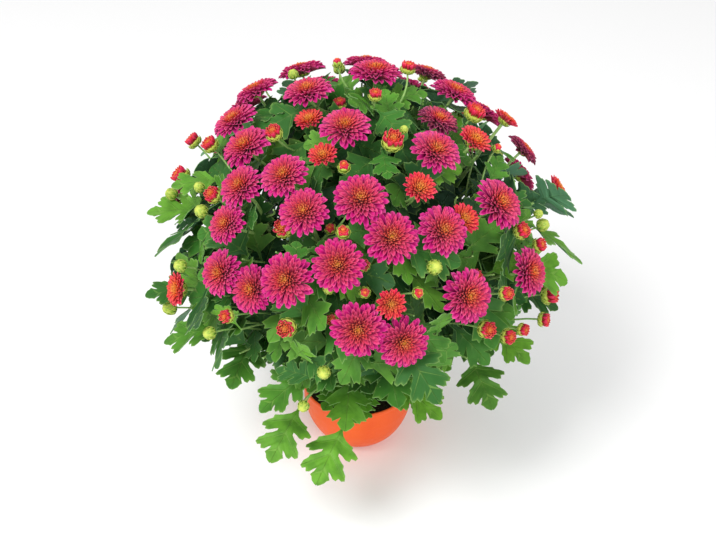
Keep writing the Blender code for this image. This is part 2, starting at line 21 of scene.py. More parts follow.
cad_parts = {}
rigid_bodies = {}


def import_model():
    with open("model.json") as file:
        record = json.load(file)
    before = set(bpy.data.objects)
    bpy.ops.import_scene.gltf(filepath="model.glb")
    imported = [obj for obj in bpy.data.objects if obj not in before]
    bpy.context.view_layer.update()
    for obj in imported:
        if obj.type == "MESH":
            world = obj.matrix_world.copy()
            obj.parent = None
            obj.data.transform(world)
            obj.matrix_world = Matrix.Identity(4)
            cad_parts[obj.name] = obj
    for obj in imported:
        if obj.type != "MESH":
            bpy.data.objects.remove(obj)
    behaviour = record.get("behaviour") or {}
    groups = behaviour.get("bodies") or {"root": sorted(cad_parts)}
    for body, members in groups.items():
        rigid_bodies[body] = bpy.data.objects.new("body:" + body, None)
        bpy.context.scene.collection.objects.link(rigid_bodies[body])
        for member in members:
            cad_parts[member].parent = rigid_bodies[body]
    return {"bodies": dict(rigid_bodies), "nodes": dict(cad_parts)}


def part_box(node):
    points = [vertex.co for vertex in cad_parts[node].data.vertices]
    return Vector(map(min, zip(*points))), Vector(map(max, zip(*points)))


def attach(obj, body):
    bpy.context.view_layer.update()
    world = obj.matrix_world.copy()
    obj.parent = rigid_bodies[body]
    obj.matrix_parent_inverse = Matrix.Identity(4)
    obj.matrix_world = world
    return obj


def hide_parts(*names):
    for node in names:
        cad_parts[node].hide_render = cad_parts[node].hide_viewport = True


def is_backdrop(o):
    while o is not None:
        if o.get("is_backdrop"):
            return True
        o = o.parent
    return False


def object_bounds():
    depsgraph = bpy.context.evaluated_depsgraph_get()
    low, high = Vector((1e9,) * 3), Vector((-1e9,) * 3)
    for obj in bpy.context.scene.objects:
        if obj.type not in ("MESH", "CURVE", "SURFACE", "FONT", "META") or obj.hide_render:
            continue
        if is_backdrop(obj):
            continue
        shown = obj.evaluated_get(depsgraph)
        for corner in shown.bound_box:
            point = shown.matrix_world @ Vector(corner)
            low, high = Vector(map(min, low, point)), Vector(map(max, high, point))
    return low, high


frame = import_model()
cad_box = [list(corner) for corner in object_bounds()]
print("packed nodes", len(frame["nodes"]))
print("box in metres", [[round(value, 4) for value in corner] for corner in cad_box])

# %% [markdown]
# ## Where things sit on the crown
#
# The crown is a ball a little lower than it is wide. A place on it is a bearing round the pot, where 0 faces
# the front (-Y) and 90 is +X, a fall from the top in degrees, and a reach, which is 1 on the ball itself.
# Polar places like these are easy to read off a photograph of a round plant, far easier than x, y and z.

# %% Places on the crown
CROWN_RADIUS, CROWN_RISE, CROWN_CENTRE = 0.178, 0.165, 0.232


def direction(bearing, fall):
    """The unit vector at a bearing and a fall, both in degrees."""
    turn, drop = math.radians(bearing), math.radians(fall)
    return Vector((math.sin(drop) * math.sin(turn), -math.sin(drop) * math.cos(turn), math.cos(drop)))


def crown_point(bearing, fall, reach):
    """A point of the crown's ball, grown or shrunk by its reach."""
    out = direction(bearing, fall)
    return Vector((out.x * CROWN_RADIUS, out.y * CROWN_RADIUS, out.z * CROWN_RISE)) * reach + Vector(
        (0, 0, CROWN_CENTRE))


print("top of the crown", round(crown_point(0, 0, 1).z, 4))

# %% [markdown]
# ## The heads
#
# Each row is one flower head: bearing, fall, reach and width in millimetres. Full blooms are wide open,
# opening blooms are redder and cupped, half-open ones stand in a green cup, and buds are closed. The rows are
# those of the solids, in the same order, so the name of each node follows from its place in the table.

# %% Tables of the heads that the solids have
FULL_BLOOMS = (
    (155, 12, 1.00, 46), (269, 14, 1.00, 42), (270, 37, 1.00, 41), (141, 34, 1.00, 38), (111, 31, 1.00, 42),
    (349, 18, 1.00, 42), (296, 36, 1.00, 42), (326, 37, 1.00, 39), (310, 45, 1.00, 38), (340, 45, 1.00, 40),
    (313, 56, 1.00, 34), (44, 31, 1.00, 42), (1, 40, 1.00, 43), (11, 51, 1.00, 43), (29, 52, 1.00, 42),
    (56, 53, 1.00, 45), (354, 58, 1.00, 43), (316, 70, 0.98, 39), (327, 71, 0.95, 40), (339, 64, 1.00, 44),
    (0, 76, 1.00, 44), (12, 81, 1.00, 42), (32, 72, 1.00, 44), (58, 77, 1.00, 42), (102, 60, 1.00, 34),
    (80, 25, 0.93, 36),
)
FAR_ROWS = ((36, (176, 210, 241)), (58, (128, 160, 194, 226)), (80, (116, 143, 170, 201, 228, 258)))
FAR_WIDTHS = (42, 40, 43, 39)
OPENING_BLOOMS = (
    (27, 39, 0.97, 28), (69, 36, 1.00, 30), (9, 69, 1.00, 25), (298, 86, 1.00, 31), (338, 27, 0.94, 25),
    (42, 52, 0.92, 28), (110, 52, 1.02, 25), (92, 71, 1.07, 25), (301, 17, 0.92, 26),
)
CUPS = (
    (23, 24, 1.00, 19), (340, 79, 0.97, 17), (86, 33, 1.03, 18), (270, 63, 1.00, 18), (276, 46, 1.00, 15),
    (304, 28, 1.00, 15), (301, 52, 1.00, 15), (332, 51, 0.93, 16), (127, 17, 1.04, 14), (59, 64, 1.00, 15),
    (66, 73, 1.00, 13), (37, 85, 1.00, 16), (46, 93, 1.00, 14), (68, 102, 1.04, 14), (73, 96, 1.03, 20),
    (45, 77, 1.00, 13), (321, 82, 0.98, 13), (144, 70, 1.03, 15), (208, 70, 1.02, 15), (258, 57, 1.02, 15),
)
BUDS = (
    (315, 91, 1.00, 10), (353, 31, 1.00, 10), (351, 91, 1.00, 10), (23, 61, 1.00, 11), (355, 49, 1.00, 11),
    (299, 77, 1.00, 10), (290, 99, 1.03, 12),
)
far_blooms = [(bearing, fall, 1.0, FAR_WIDTHS[(bearing + fall) % len(FAR_WIDTHS)])
              for fall, bearings in FAR_ROWS for bearing in bearings]
print("full blooms", len(FULL_BLOOMS) + len(far_blooms), "opening blooms", len(OPENING_BLOOMS))
print("half-open heads", len(CUPS), "buds", len(BUDS))

# %% [markdown]
# A head faces out of the crown, but flowers turn a little towards the light, so its axis falls less than its
# place does. It fills a short cylinder, and stalks and leaves are kept out of all those cylinders. That is
# quick to test for many points at once with numpy, where a test against real petals would take minutes.

# %% A head and the space that it fills
GAP = 0.0003
BLOOM_MARGIN, CUP_MARGIN = 0.0022, 0.0002
HEAD_HEIGHTS = {"full": 0.64, "opening": 0.90, "cup": 1.50, "bud": 2.10}
LIGHT_PULL, HEAD_SUNK, HEAD_TURN, FUSED_DEPTH = 0.78, 0.7, 7, 0.4
BOX_SLACK = 0.004


class Head:
    """A flower head: where it sits, the way it faces and the space that it fills."""

    def __init__(self, kind, row, name=None):
        bearing, fall, reach, width = row
        self.kind, self.name = kind, name
        self.bloom = kind in ("full", "opening")
        self.margin = BLOOM_MARGIN if self.bloom else CUP_MARGIN
        self.radius = width / 2000
        self.axis = direction(bearing, fall * LIGHT_PULL)
        self.height = self.radius * HEAD_HEIGHTS[kind]
        self.seat = crown_point(bearing, fall, reach) - self.axis * self.height * HEAD_SUNK
        self.turn = math.radians(bearing * HEAD_TURN)

    def stalk_end(self):
        """Where the stalk ends: just under a bloom, or well inside a head that is fused to it."""
        return self.seat + self.axis * (-GAP if self.bloom else self.radius * FUSED_DEPTH)

    def matrix(self):
        """The placing of a head of unit radius whose axis is +Z."""
        facing = self.axis.to_track_quat("Z", "Y").to_matrix().to_4x4()
        spin = Matrix.Rotation(self.turn, 4, "Z")
        return Matrix.Translation(self.seat) @ facing @ spin @ Matrix.Scale(self.radius, 4)


class Heads(list):
    """All the heads, with the test that keeps points out of them."""

    def gather(self):
        """Puts the sizes of the heads in arrays."""
        self.seats = np.array([head.seat for head in self])
        self.axes = np.array([head.axis for head in self])
        self.sizes = np.array([(head.margin, head.height, head.radius) for head in self])

    def clear(self, points, extra=0, skip=None):
        """Whether all the points stay out of every head but the one skipped."""
        margin, height, radius = (self.sizes + (extra, 0, 0)).T
        offset = np.asarray(points)[:, None, :] - self.seats
        along = (offset * self.axes).sum(2)
        out = np.linalg.norm(offset - along[..., None] * self.axes, axis=2)
        inside = (along > -margin) & (along < height + margin) & (out <= radius + margin)
        if skip is not None:
            inside[:, self.index(skip)] = False
        return not inside.any()


heads = Heads()
for kind, rows in (("full", (*FULL_BLOOMS, *far_blooms)), ("opening", OPENING_BLOOMS)):
    heads += [Head(kind, row, f"bloom_{kind}_{number + 1:02d}") for number, row in enumerate(rows)]
heads += [Head("cup", row) for row in CUPS] + [Head("bud", row) for row in BUDS]
heads.gather()
for head in heads:
    if head.bloom:
        low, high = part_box(head.name)
        middle = head.seat + head.axis * head.height / 2
        assert all(a - BOX_SLACK < b < c + BOX_SLACK for a, b, c in zip(low, middle, high)), head.name
print("heads", len(heads), "and each bloom's middle lies in the box of its node")

# %% [markdown]
# ## Growing the stems
#
# Several cuttings stand in the pot: one in the middle, in a cone of its own, and five round it, each in its
# own wedge. A main stem climbs to the plant's highest bloom, and stalks fork from it, one for each other
# head. A stalk is a curve of four control points. Where its way is blocked by a head, it forks lower or
# bends aside.

# %% The plants' own spaces
OUTER_PLANTS, OUTER_RING = 5, 0.026
CONE_ANGLE, CONE_FOOT = math.radians(24), 0.100
RIM_RADIUS, POT_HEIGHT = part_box("pot")[1].x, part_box("pot")[1].z
RIM_CLEARANCE, GROUND_CLEARANCE, REGION_MARGIN = 0.004, 0.006, 0.0012


def room(points, plant):
    """How far each point lies inside the space of its plant."""
    x, y, z = np.asarray(points).T
    out = np.hypot(x, y)
    cone_gap = out * math.cos(CONE_ANGLE) - (z - CONE_FOOT) * math.sin(CONE_ANGLE)
    if plant == 0:
        return -cone_gap
    half = 180 / OUTER_PLANTS
    off = (np.degrees(np.arctan2(x, -y)) - (plant - 1) * 2 * half + 180) % 360 - 180
    return np.minimum(cone_gap, out * np.sin(np.radians(half - np.abs(off))))


def plant_of(point):
    """The plant whose space holds a point: 0 in the middle, and 1 to 5 round it."""
    return max(range(OUTER_PLANTS + 1), key=lambda plant: room([point], plant)[0])


def clear_of_pot(points):
    """Whether all the points are outside the pot and the soil, and above the ground."""
    x, y, z = np.asarray(points).T
    over = np.hypot(x, y) < RIM_RADIUS + RIM_CLEARANCE
    return bool((z > np.where(over, POT_HEIGHT + RIM_CLEARANCE, GROUND_CLEARANCE)).all())


print("heads of each plant", [sum(plant_of(head.seat) == plant for head in heads) for plant in range(6)])

# %% [markdown]
# A leaf of the solids is a folded blade with three lobes a side. The same outline is used here to test
# whether a leaf fits between the heads; the finer leaf that is drawn later keeps to it.

# %% The plain leaf that the tests use
LEAF_HALF = ((0.00, 0.018), (0.25, 0.022), (0.54, 0.38), (0.54, 0.13), (0.82, 0.30), (0.80, 0.12),
             (0.99, 0.055))
LEAF_RIB = (0.40, 0.68)
LEAF_FOLD, LEAF_DROOP = 0.30, 0.16
PETIOLE_SHARE, LEAF_MIDDLE = 0.1, 0.6


def leaf_place(blade):
    """A function that puts a share along a leaf and a share out from its midrib in its place."""
    root, along, up, length = blade
    side = up.cross(along).normalized()
    up = along.cross(side).normalized()

    def place(share, out, raised=0.0):
        lift = LEAF_FOLD * abs(out) * (1 - 0.5 * share) + raised
        return (root + along * share * length + side * out * length + up * lift * length
                - Vector((0, 0, LEAF_DROOP * share * share * length)))

    return place


def leaf_tests(blade):
    """Points of a leaf to test: its corners and the middles of its faces, without the foot of its stalk."""
    place = leaf_place(blade)
    count = len(LEAF_HALF)
    points = [place(share, out * hand) for hand in (1, -1) for share, out in LEAF_HALF]
    points += [place(share, 0) for share in LEAF_RIB]
    low, high = 2 * count, 2 * count + 1
    faces = [(0, count, 1), (count, count + 1, 1), (1, count + 1, low), (high, count - 1, 2 * count - 1)]
    for hand in (0, count):
        half = [(1, low, 2), (2, low, 3), (3, low, high), (3, high, 4), (4, high, 5), (5, high, 6)]
        faces += [tuple(corner if corner >= low else corner + hand for corner in face) for face in half]
    inner = [sum((points[corner] for corner in face), Vector()) / 3 for face in faces]
    root, _, _, length = blade
    return [point for point in points if (point - root).length > PETIOLE_SHARE * length] + inner


trial_leaf = (Vector(), Vector((0, 1, 0)), Vector((0, 0, 1)), 1)
print("points tested on each leaf", len(leaf_tests(trial_leaf)))

# %% [markdown]
# The class below grows one plant. Its stalks, leafy shoots, stalk leaves and twigs follow the steps of the
# solids and come out the same. The later cells fill the crown: real plants of this kind are so dense that
# hardly any light comes through, and there the solids only hold the main leaves.

# %% Curves for the stems
LEADER_SHARES = (0, 0.18, 0.36, 0.54, 0.72, 0.92, 1)
STALK_SHARES = (0, 0.45, 0.86, 1)


def bezier(points, shares):
    """Points at these shares of the way along the curve of four control points."""
    start, first_pull, last_pull, end = points
    found = []
    for share in shares:
        rest = 1 - share
        near = start * rest**3 + first_pull * 3 * rest * rest * share
        found.append(near + last_pull * 3 * rest * share * share + end * share**3)
    return found


def fine_points(path, spacing=0.004):
    """The points of a path with more between them on its straight runs."""
    found = [path[0]]
    for start, end in zip(path, path[1:]):
        parts = max(1, round((end - start).length / spacing))
        found += [start.lerp(end, part / parts) for part in range(1, parts + 1)]
    return found


straight = [Vector((0, 0, height)) for height in range(4)]
print("halfway up a straight curve 3 high", bezier(straight, (0.5,))[0].z)

# %% One plant
SOIL_TOP, STEM_DEPTH, STEM_BARE, STEM_STEEPNESS = 0.056, 0.026, 0.004, 0.040
STEM_RADIUS, STALK_RADIUS, STALK_TAPER, LOWEST_FORK = 0.0030, 0.0015, 0.8, 0.084
FORK_SLOPES, FORK_BELOW_TOP = (0.9, 0.6, 1.2, 0.3, 1.6), 12
STALK_BENDS = (0, 0.012, -0.012, 0.024, -0.024, 0.036, -0.036)
LEADER_PULLS, STALK_PULLS = (0.4, 0.3), (0.35, 0.3)
LEAF_ANGLE, GOLDEN_TURN, LEAF_TRIES = math.radians(58), math.radians(137.5), 8
STALK_LEAF_PLACES, STALK_LEAF_LENGTH, LEAF_SPACING = (0.67,), 0.060, 0.041
SHOOT_RISE, SHOOT_DIP, LOW_FALL, SHOOT_JOIN = 0.20, -0.15, 100, 0.85
SHOOT_TURNS = (0, 12, -12, 24, -24, 36, -36)
UP = Vector((0, 0, 1))


class Plant:
    """One plant: its main stem, the stalks that leave it and the leaves that they carry."""

    def __init__(self, number):
        self.number = number
        self.own = [head for head in heads if plant_of(head.seat) == number]
        self.leader_head = max((head for head in self.own if head.bloom), key=lambda head: head.seat.z)
        self.leader, self.leader_controls = self.leader_path()
        self.stalks, self.blades, self.middles = [], [], np.empty((0, 3))

    def bearing(self):
        """The bearing of the plant round the pot."""
        return (self.number - 1) * 360 / OUTER_PLANTS

    def foot(self):
        """Where the main stem stands in the soil."""
        turn = math.radians(self.bearing())
        return Vector((math.sin(turn), -math.cos(turn), 0)) * (OUTER_RING if self.number else 0)

    def leader_path(self):
        """The main stem, from the bottom of its hole in the soil to its highest bloom."""
        foot, head = self.foot(), self.leader_head
        low = foot + UP * (SOIL_TOP - STEM_DEPTH)
        top = foot + UP * (SOIL_TOP + STEM_BARE)
        end = head.stalk_end()
        reach = (end - top).length
        outward = (foot + UP * STEM_STEEPNESS).normalized()
        first_pull, last_pull = (reach * share for share in LEADER_PULLS)
        controls = (top, top + outward * first_pull, end - head.axis * last_pull, end)
        return [low] + bezier(controls, LEADER_SHARES), controls

    def stalk_path(self, target, axis, skip=None):
        """The control points of a stalk from the main stem to its end, bent round what is in its way."""
        fine = fine_points(self.leader[1:])
        for slope in FORK_SLOPES:

            def missed(place):
                wanted = target.z - slope * (target - fine[place]).xy.length
                return abs(fine[place].z - max(LOWEST_FORK, wanted))

            index = min(range(2, len(fine) - FORK_BELOW_TOP), key=missed)
            start = fine[index]
            ahead = (fine[index + 1] - fine[index - 1]).normalized()
            straight = target - start
            first_pull, last_pull = (straight.length * share for share in STALK_PULLS)
            outward = (straight.normalized() + ahead).normalized() * first_pull
            back = axis * last_pull
            side = straight.cross(UP).normalized()
            for bend in STALK_BENDS:
                aside = side * bend
                controls = (start, start + outward + aside, target - back + aside, target)
                fine_stalk = fine_points(bezier(controls, STALK_SHARES))
                if (room(fine_stalk[3:], self.number) < REGION_MARGIN).any():
                    continue
                if heads.clear(fine_stalk, STALK_RADIUS, skip):
                    return controls
        return None

    def blade_clears(self, blade, spacing, inside):
        """Whether a leaf keeps to its plant's space, out of the pot and the heads, and off other leaves."""
        root, along, _, length = blade
        middle = root + along * length * LEAF_MIDDLE
        if (np.linalg.norm(self.middles - middle, axis=1) < spacing).any():
            return False
        points = leaf_tests(blade)
        return (not (room(points, self.number) < REGION_MARGIN).any() and clear_of_pot(points)
                and (inside is None or inside(points)) and heads.clear(points))

    def add_blade(self, blade, spacing, inside=None):
        """Keeps a leaf if it fits, and says whether it did."""
        if not self.blade_clears(blade, spacing, inside):
            return False
        self.blades.append(blade)
        self.middles = np.vstack((self.middles, blade[0] + blade[1] * blade[3] * LEAF_MIDDLE))
        return True

    def add_stalks(self, carried):
        """A stalk for each of these heads, which are this plant's own."""
        for head in carried:
            controls = self.stalk_path(head.stalk_end(), head.axis, head)
            if controls:
                self.stalks.append((controls, head))

    def add_leaf_shoots(self, rows):
        """The shoots that end in a leaf, with the leaf turned aside where it would cross a head."""
        for bearing, fall, reach, length in rows:
            tip = crown_point(bearing, fall, reach)
            if plant_of(tip) != self.number:
                continue
            length /= 1000
            slope = SHOOT_RISE if fall < LOW_FALL else SHOOT_DIP
            for turn in SHOOT_TURNS:
                along = (direction(bearing + turn, 90) + UP * slope).normalized()
                root = tip - along * length + UP * LEAF_DROOP * length
                controls = self.stalk_path(root, along)
                if controls is None:
                    continue
                near, end = bezier(controls, STALK_SHARES[-2:])
                if self.add_blade((near.lerp(end, SHOOT_JOIN), along, UP, length), LEAF_SPACING):
                    self.stalks.append((controls, None))
                    break

    def add_stalk_leaves(self):
        """A leaf on each stalk of a bloom, each a golden turn on from the last."""
        for number, (controls, head) in enumerate(self.stalks):
            if head is None or not head.bloom:
                continue
            path = bezier(controls, STALK_SHARES)
            for share in STALK_LEAF_PLACES:
                index = round(share * (len(path) - 1))
                ahead = (path[index + 1] - path[index - 1]).normalized()
                self.turn_leaf(path[index], ahead, GOLDEN_TURN * (number + index), STALK_LEAF_LENGTH,
                               LEAF_SPACING)

    def add_twig(self, tip, axis, number):
        """A leafy twig to this place; it says whether there was a clear way and room for the leaves."""
        controls = self.stalk_path(tip, axis)
        if controls is None:
            return False
        near, end = bezier(controls, STALK_SHARES[-2:])
        ahead = (end - near).normalized()
        grown = [self.turn_leaf(near.lerp(end, share), ahead, GOLDEN_TURN * (number + index), length,
                                TWIG_SPACING) for index, (share, length) in enumerate(TWIG_LEAVES)]
        if any(grown):
            self.stalks.append((controls, None))
        return any(grown)

    def turn_leaf(self, place, ahead, first, length, spacing, angle=LEAF_ANGLE, inside=None):
        """A leaf on a stalk, turned round it until it fits."""
        across = ahead.orthogonal().normalized()
        for attempt in range(LEAF_TRIES):
            out = Matrix.Rotation(first + attempt * math.tau / LEAF_TRIES, 3, ahead) @ across
            along = (ahead * math.cos(angle) + out * math.sin(angle)).normalized()
            if self.add_blade((place, along, ahead, length), spacing, inside):
                return True
        return False


print("each leaf stands", round(math.degrees(GOLDEN_TURN), 1), "degrees on from the last")

# %% Grow the six plants, with their leafy shoots
LEAF_SHOOTS = (
    (273, 77, 1.09, 66), (284, 60, 1.06, 50), (287, 95, 1.12, 60), (296, 105, 1.12, 62),
    (318, 114, 1.02, 58), (331, 113, 1.06, 60), (334, 127, 1.24, 64), (348, 130, 1.29, 66),
    (355, 133, 1.00, 56), (12, 110, 0.98, 62), (29, 124, 1.03, 62), (43, 119, 1.12, 60),
    (58, 111, 1.08, 60), (77, 104, 1.09, 58),
    (70, 62, 0.99, 50), (100, 108, 1.06, 60), (125, 100, 1.08, 58), (150, 112, 1.05, 60),
    (171, 103, 1.08, 58), (205, 113, 1.05, 60), (230, 102, 1.08, 58), (256, 110, 1.06, 60),
)
plants = [Plant(number) for number in range(OUTER_PLANTS + 1)]
for plant in plants:
    plant.add_stalks([head for head in plant.own if head is not plant.leader_head])
    plant.add_leaf_shoots(LEAF_SHOOTS)
    plant.add_stalk_leaves()
print("plants", len(plants), "with stalks", [len(plant.stalks) for plant in plants])

# %% Leafy twigs at the sides and the back, as the solids have them
TWIGS, TWIG_BEARINGS, TWIG_FALLS, TWIG_REACH = 20, (52, 306), (58, 104), 0.84
TWIG_LEAVES, TWIG_SPACING = ((0.0, 0.066), (0.85, 0.066)), 0.030
TWIG_TRIES, TWIG_SHIFT, TWIG_SEED = 12, 9, 5


def add_twigs():
    """The leafy twigs, spread evenly by the golden turn and then shifted a little until each one fits."""
    rng = random.Random(TWIG_SEED)
    for number in range(TWIGS):
        around = number * GOLDEN_TURN / math.tau % 1
        down = (number + 0.5) / TWIGS
        for _ in range(TWIG_TRIES):
            bearing = TWIG_BEARINGS[0] + (TWIG_BEARINGS[1] - TWIG_BEARINGS[0]) * around
            fall = TWIG_FALLS[0] + (TWIG_FALLS[1] - TWIG_FALLS[0]) * down
            bearing += rng.uniform(-TWIG_SHIFT, TWIG_SHIFT)
            fall += rng.uniform(-TWIG_SHIFT, TWIG_SHIFT)
            tip = crown_point(bearing, fall, TWIG_REACH)
            if plants[plant_of(tip)].add_twig(tip, direction(bearing, fall * LIGHT_PULL), number):
                break


add_twigs()
print("stalks", sum(len(plant.stalks) for plant in plants))
print("main leaves", sum(len(plant.blades) for plant in plants))

# %% [markdown]
# ## The small buds
#
# Between the blooms stand many small buds on short stalks, too small for the solids. They are placed by the
# same bearing, fall and width, and moved inwards where a bloom is in their place.

# %% Small half-open heads and buds
SMALL_CUPS = ((54, 96, 12), (41, 71, 12), (41, 7, 12), (256, 6, 12), (2, 59, 11), (352, 77, 11))
SMALL_BUDS = (
    (2, 66, 9), (268, 72, 10), (292, 54, 8), (349, 48, 9), (351, 66, 8.5), (344, 109, 9), (17, 67, 9),
    (47, 58, 9), (73, 70.5, 10), (72, 66, 7), (76, 43, 8), (315, 20, 8), (331, 72, 8), (34, 22, 6),
    (300, 58, 10), (152, 48, 9), (188, 46, 10), (222, 48, 9), (178, 74, 10), (238, 70, 9), (128, 80, 9),
    (196, 22, 9), (232, 24, 8), (157, 86, 9), (214, 90, 10),
)
SMALL_REACHES = (1.0, 0.96, 0.92, 0.88)
small_heads = []
for kind, rows in (("cup", SMALL_CUPS), ("bud", SMALL_BUDS)):
    for bearing, fall, width in rows:
        for reach in SMALL_REACHES:
            head = Head(kind, (bearing, fall, reach, width))
            spine = [head.seat + head.axis * head.height * share for share in (0, 0.5, 1)]
            if heads.clear(spine, head.radius):
                small_heads.append(head)
                break
heads += small_heads
heads.gather()
for plant in plants:
    plant.own = [head for head in heads if plant_of(head.seat) == plant.number]
    plant.add_stalks([head for head in plant.own if head in small_heads])
print("small heads", len(small_heads), "stalks", sum(len(plant.stalks) for plant in plants))

# %% [markdown]
# ## Filling the crown with leaves
#
# Leaves of this plant stand in a spiral, each a golden turn (137.5 degrees) on from the one below. So each
# stem is walked from its foot, and a leaf is tried at every step. Leafy twigs without a flower fill what is
# left: their tips are spread over the ball evenly, by the same golden turn, which is how a sunflower packs
# its seeds. Low on the main stems, leaves lie nearly level, out over the soil and the rim of the pot.

# %% Rules for leaves along the stems and for leafy twigs
FILL_STEP, FILL_SPACING = 0.016, 0.0195
FILL_LENGTHS, TOP_LENGTHS, TOP_REACH = (0.046, 0.064), (0.034, 0.050), 0.050
FILL_ANGLES = (48, 78)
FILL_TWIGS, FILL_FALL, FILL_REACHES = 170, 112, (0.86, 0.80, 0.72)
FILL_LEAVES, FILL_SIZES = ((0.60, 0.054), (0.76, 0.050), (0.88, 0.046), (1.0, 0.040)), (0.85, 1.2)
FILL_BEHIND, FILL_TURNS, TIP_ROOM, FILL_SEED = 0.08, 12, 0.003, 7
FILL_REACH, SKIRT_HEIGHT, SKIRT_SLOPE, FRONT_SLOPE = 0.95, 0.105, 0.45, 0.30


def in_the_crown(points):
    """Whether all the points lie inside the crown and above its skirt, which is higher at the front."""
    x, y, z = np.asarray(points).T
    out = np.hypot(x, y)
    reach = np.hypot(out / CROWN_RADIUS, (z - CROWN_CENTRE) / CROWN_RISE)
    front = np.maximum(0, -y / np.maximum(out, 0.001))
    skirt = SKIRT_HEIGHT + (SKIRT_SLOPE + FRONT_SLOPE * front) * np.maximum(0, out - RIM_RADIUS)
    return bool((reach < FILL_REACH).all() and (z > skirt).all())


CURVE_SHARES = tuple(step / 12 for step in range(13))
COLLAR_TOP, COLLAR_STEP, COLLAR_SPACING = 0.135, 0.010, 0.021
COLLAR_TURNS, COLLAR_SWAY = (0, -38, 38, -66, 66), 16
COLLAR_SLOPES, COLLAR_LENGTHS = (-0.05, 0.55), (0.040, 0.056)
rng = random.Random(FILL_SEED)


def leaves_over_the_rim(plant):
    """Leaves low on the main stem that lie out over the soil and the rim of the pot."""
    for point in fine_points(plant.leader[1:], COLLAR_STEP):
        for turn in COLLAR_TURNS if point.z < COLLAR_TOP else ():
            sway = rng.uniform(-COLLAR_SWAY, COLLAR_SWAY)
            level = direction(plant.bearing() + turn + sway, 90)
            along = (level + UP * rng.uniform(*COLLAR_SLOPES)).normalized()
            plant.add_blade((point, along, UP, rng.uniform(*COLLAR_LENGTHS)), COLLAR_SPACING)


def leaves_along(plant, controls, number):
    """Leaves up one stem, shorter near its head."""
    path = fine_points(bezier(controls, CURVE_SHARES), FILL_STEP)
    top = path[-1]
    for index in range(1, len(path) - 1):
        ahead = (path[index + 1] - path[index - 1]).normalized()
        low, high = TOP_LENGTHS if (path[index] - top).length < TOP_REACH else FILL_LENGTHS
        plant.turn_leaf(path[index], ahead, GOLDEN_TURN * (index + number), rng.uniform(low, high),
                        FILL_SPACING, math.radians(rng.uniform(*FILL_ANGLES)), in_the_crown)


print("leafy twigs to try", FILL_TWIGS, "leaves on each", len(FILL_LEAVES))

# %% Grow the leafy twigs and the leaves
for twig in range(FILL_TWIGS):
    bearing = twig * math.degrees(GOLDEN_TURN) % 360
    fall = math.degrees(math.acos(1 - (twig + 0.5) / FILL_TWIGS * (1 - math.cos(math.radians(FILL_FALL)))))
    for reach in FILL_REACHES:
        tip = crown_point(bearing, fall, reach)
        plant = plants[plant_of(tip)]
        if not heads.clear([tip], TIP_ROOM) or not clear_of_pot([tip]):
            continue
        controls = plant.stalk_path(tip, direction(bearing, fall * LIGHT_PULL))
        if controls is None:
            continue
        plant.stalks.append((controls, None))
        for share, length in FILL_LEAVES:
            before, place = bezier(controls, (share - FILL_BEHIND, share))
            first = GOLDEN_TURN * (twig + share * FILL_TURNS)
            plant.turn_leaf(place, (place - before).normalized(), first, length * rng.uniform(*FILL_SIZES),
                            FILL_SPACING, math.radians(rng.uniform(*FILL_ANGLES)), in_the_crown)
        break
for plant in plants[1:]:
    leaves_over_the_rim(plant)
for plant in plants:
    for number, controls in enumerate([plant.leader_controls] + [controls for controls, _ in plant.stalks]):
        leaves_along(plant, controls, number)
print("leaves", [len(plant.blades) for plant in plants], "stems", [len(plant.stalks) for plant in plants])

# %% [markdown]
# ## Finishes
#
# Every finish here is a node tree. The class below only shortens the writing: it makes a material, and each
# of its functions adds one node and hands back its output. Patterns that follow a petal or a leaf read
# attributes that the mesh carries, such as how far along the petal a point is. Others read Object
# coordinates.

# %% Short ways to write a node tree


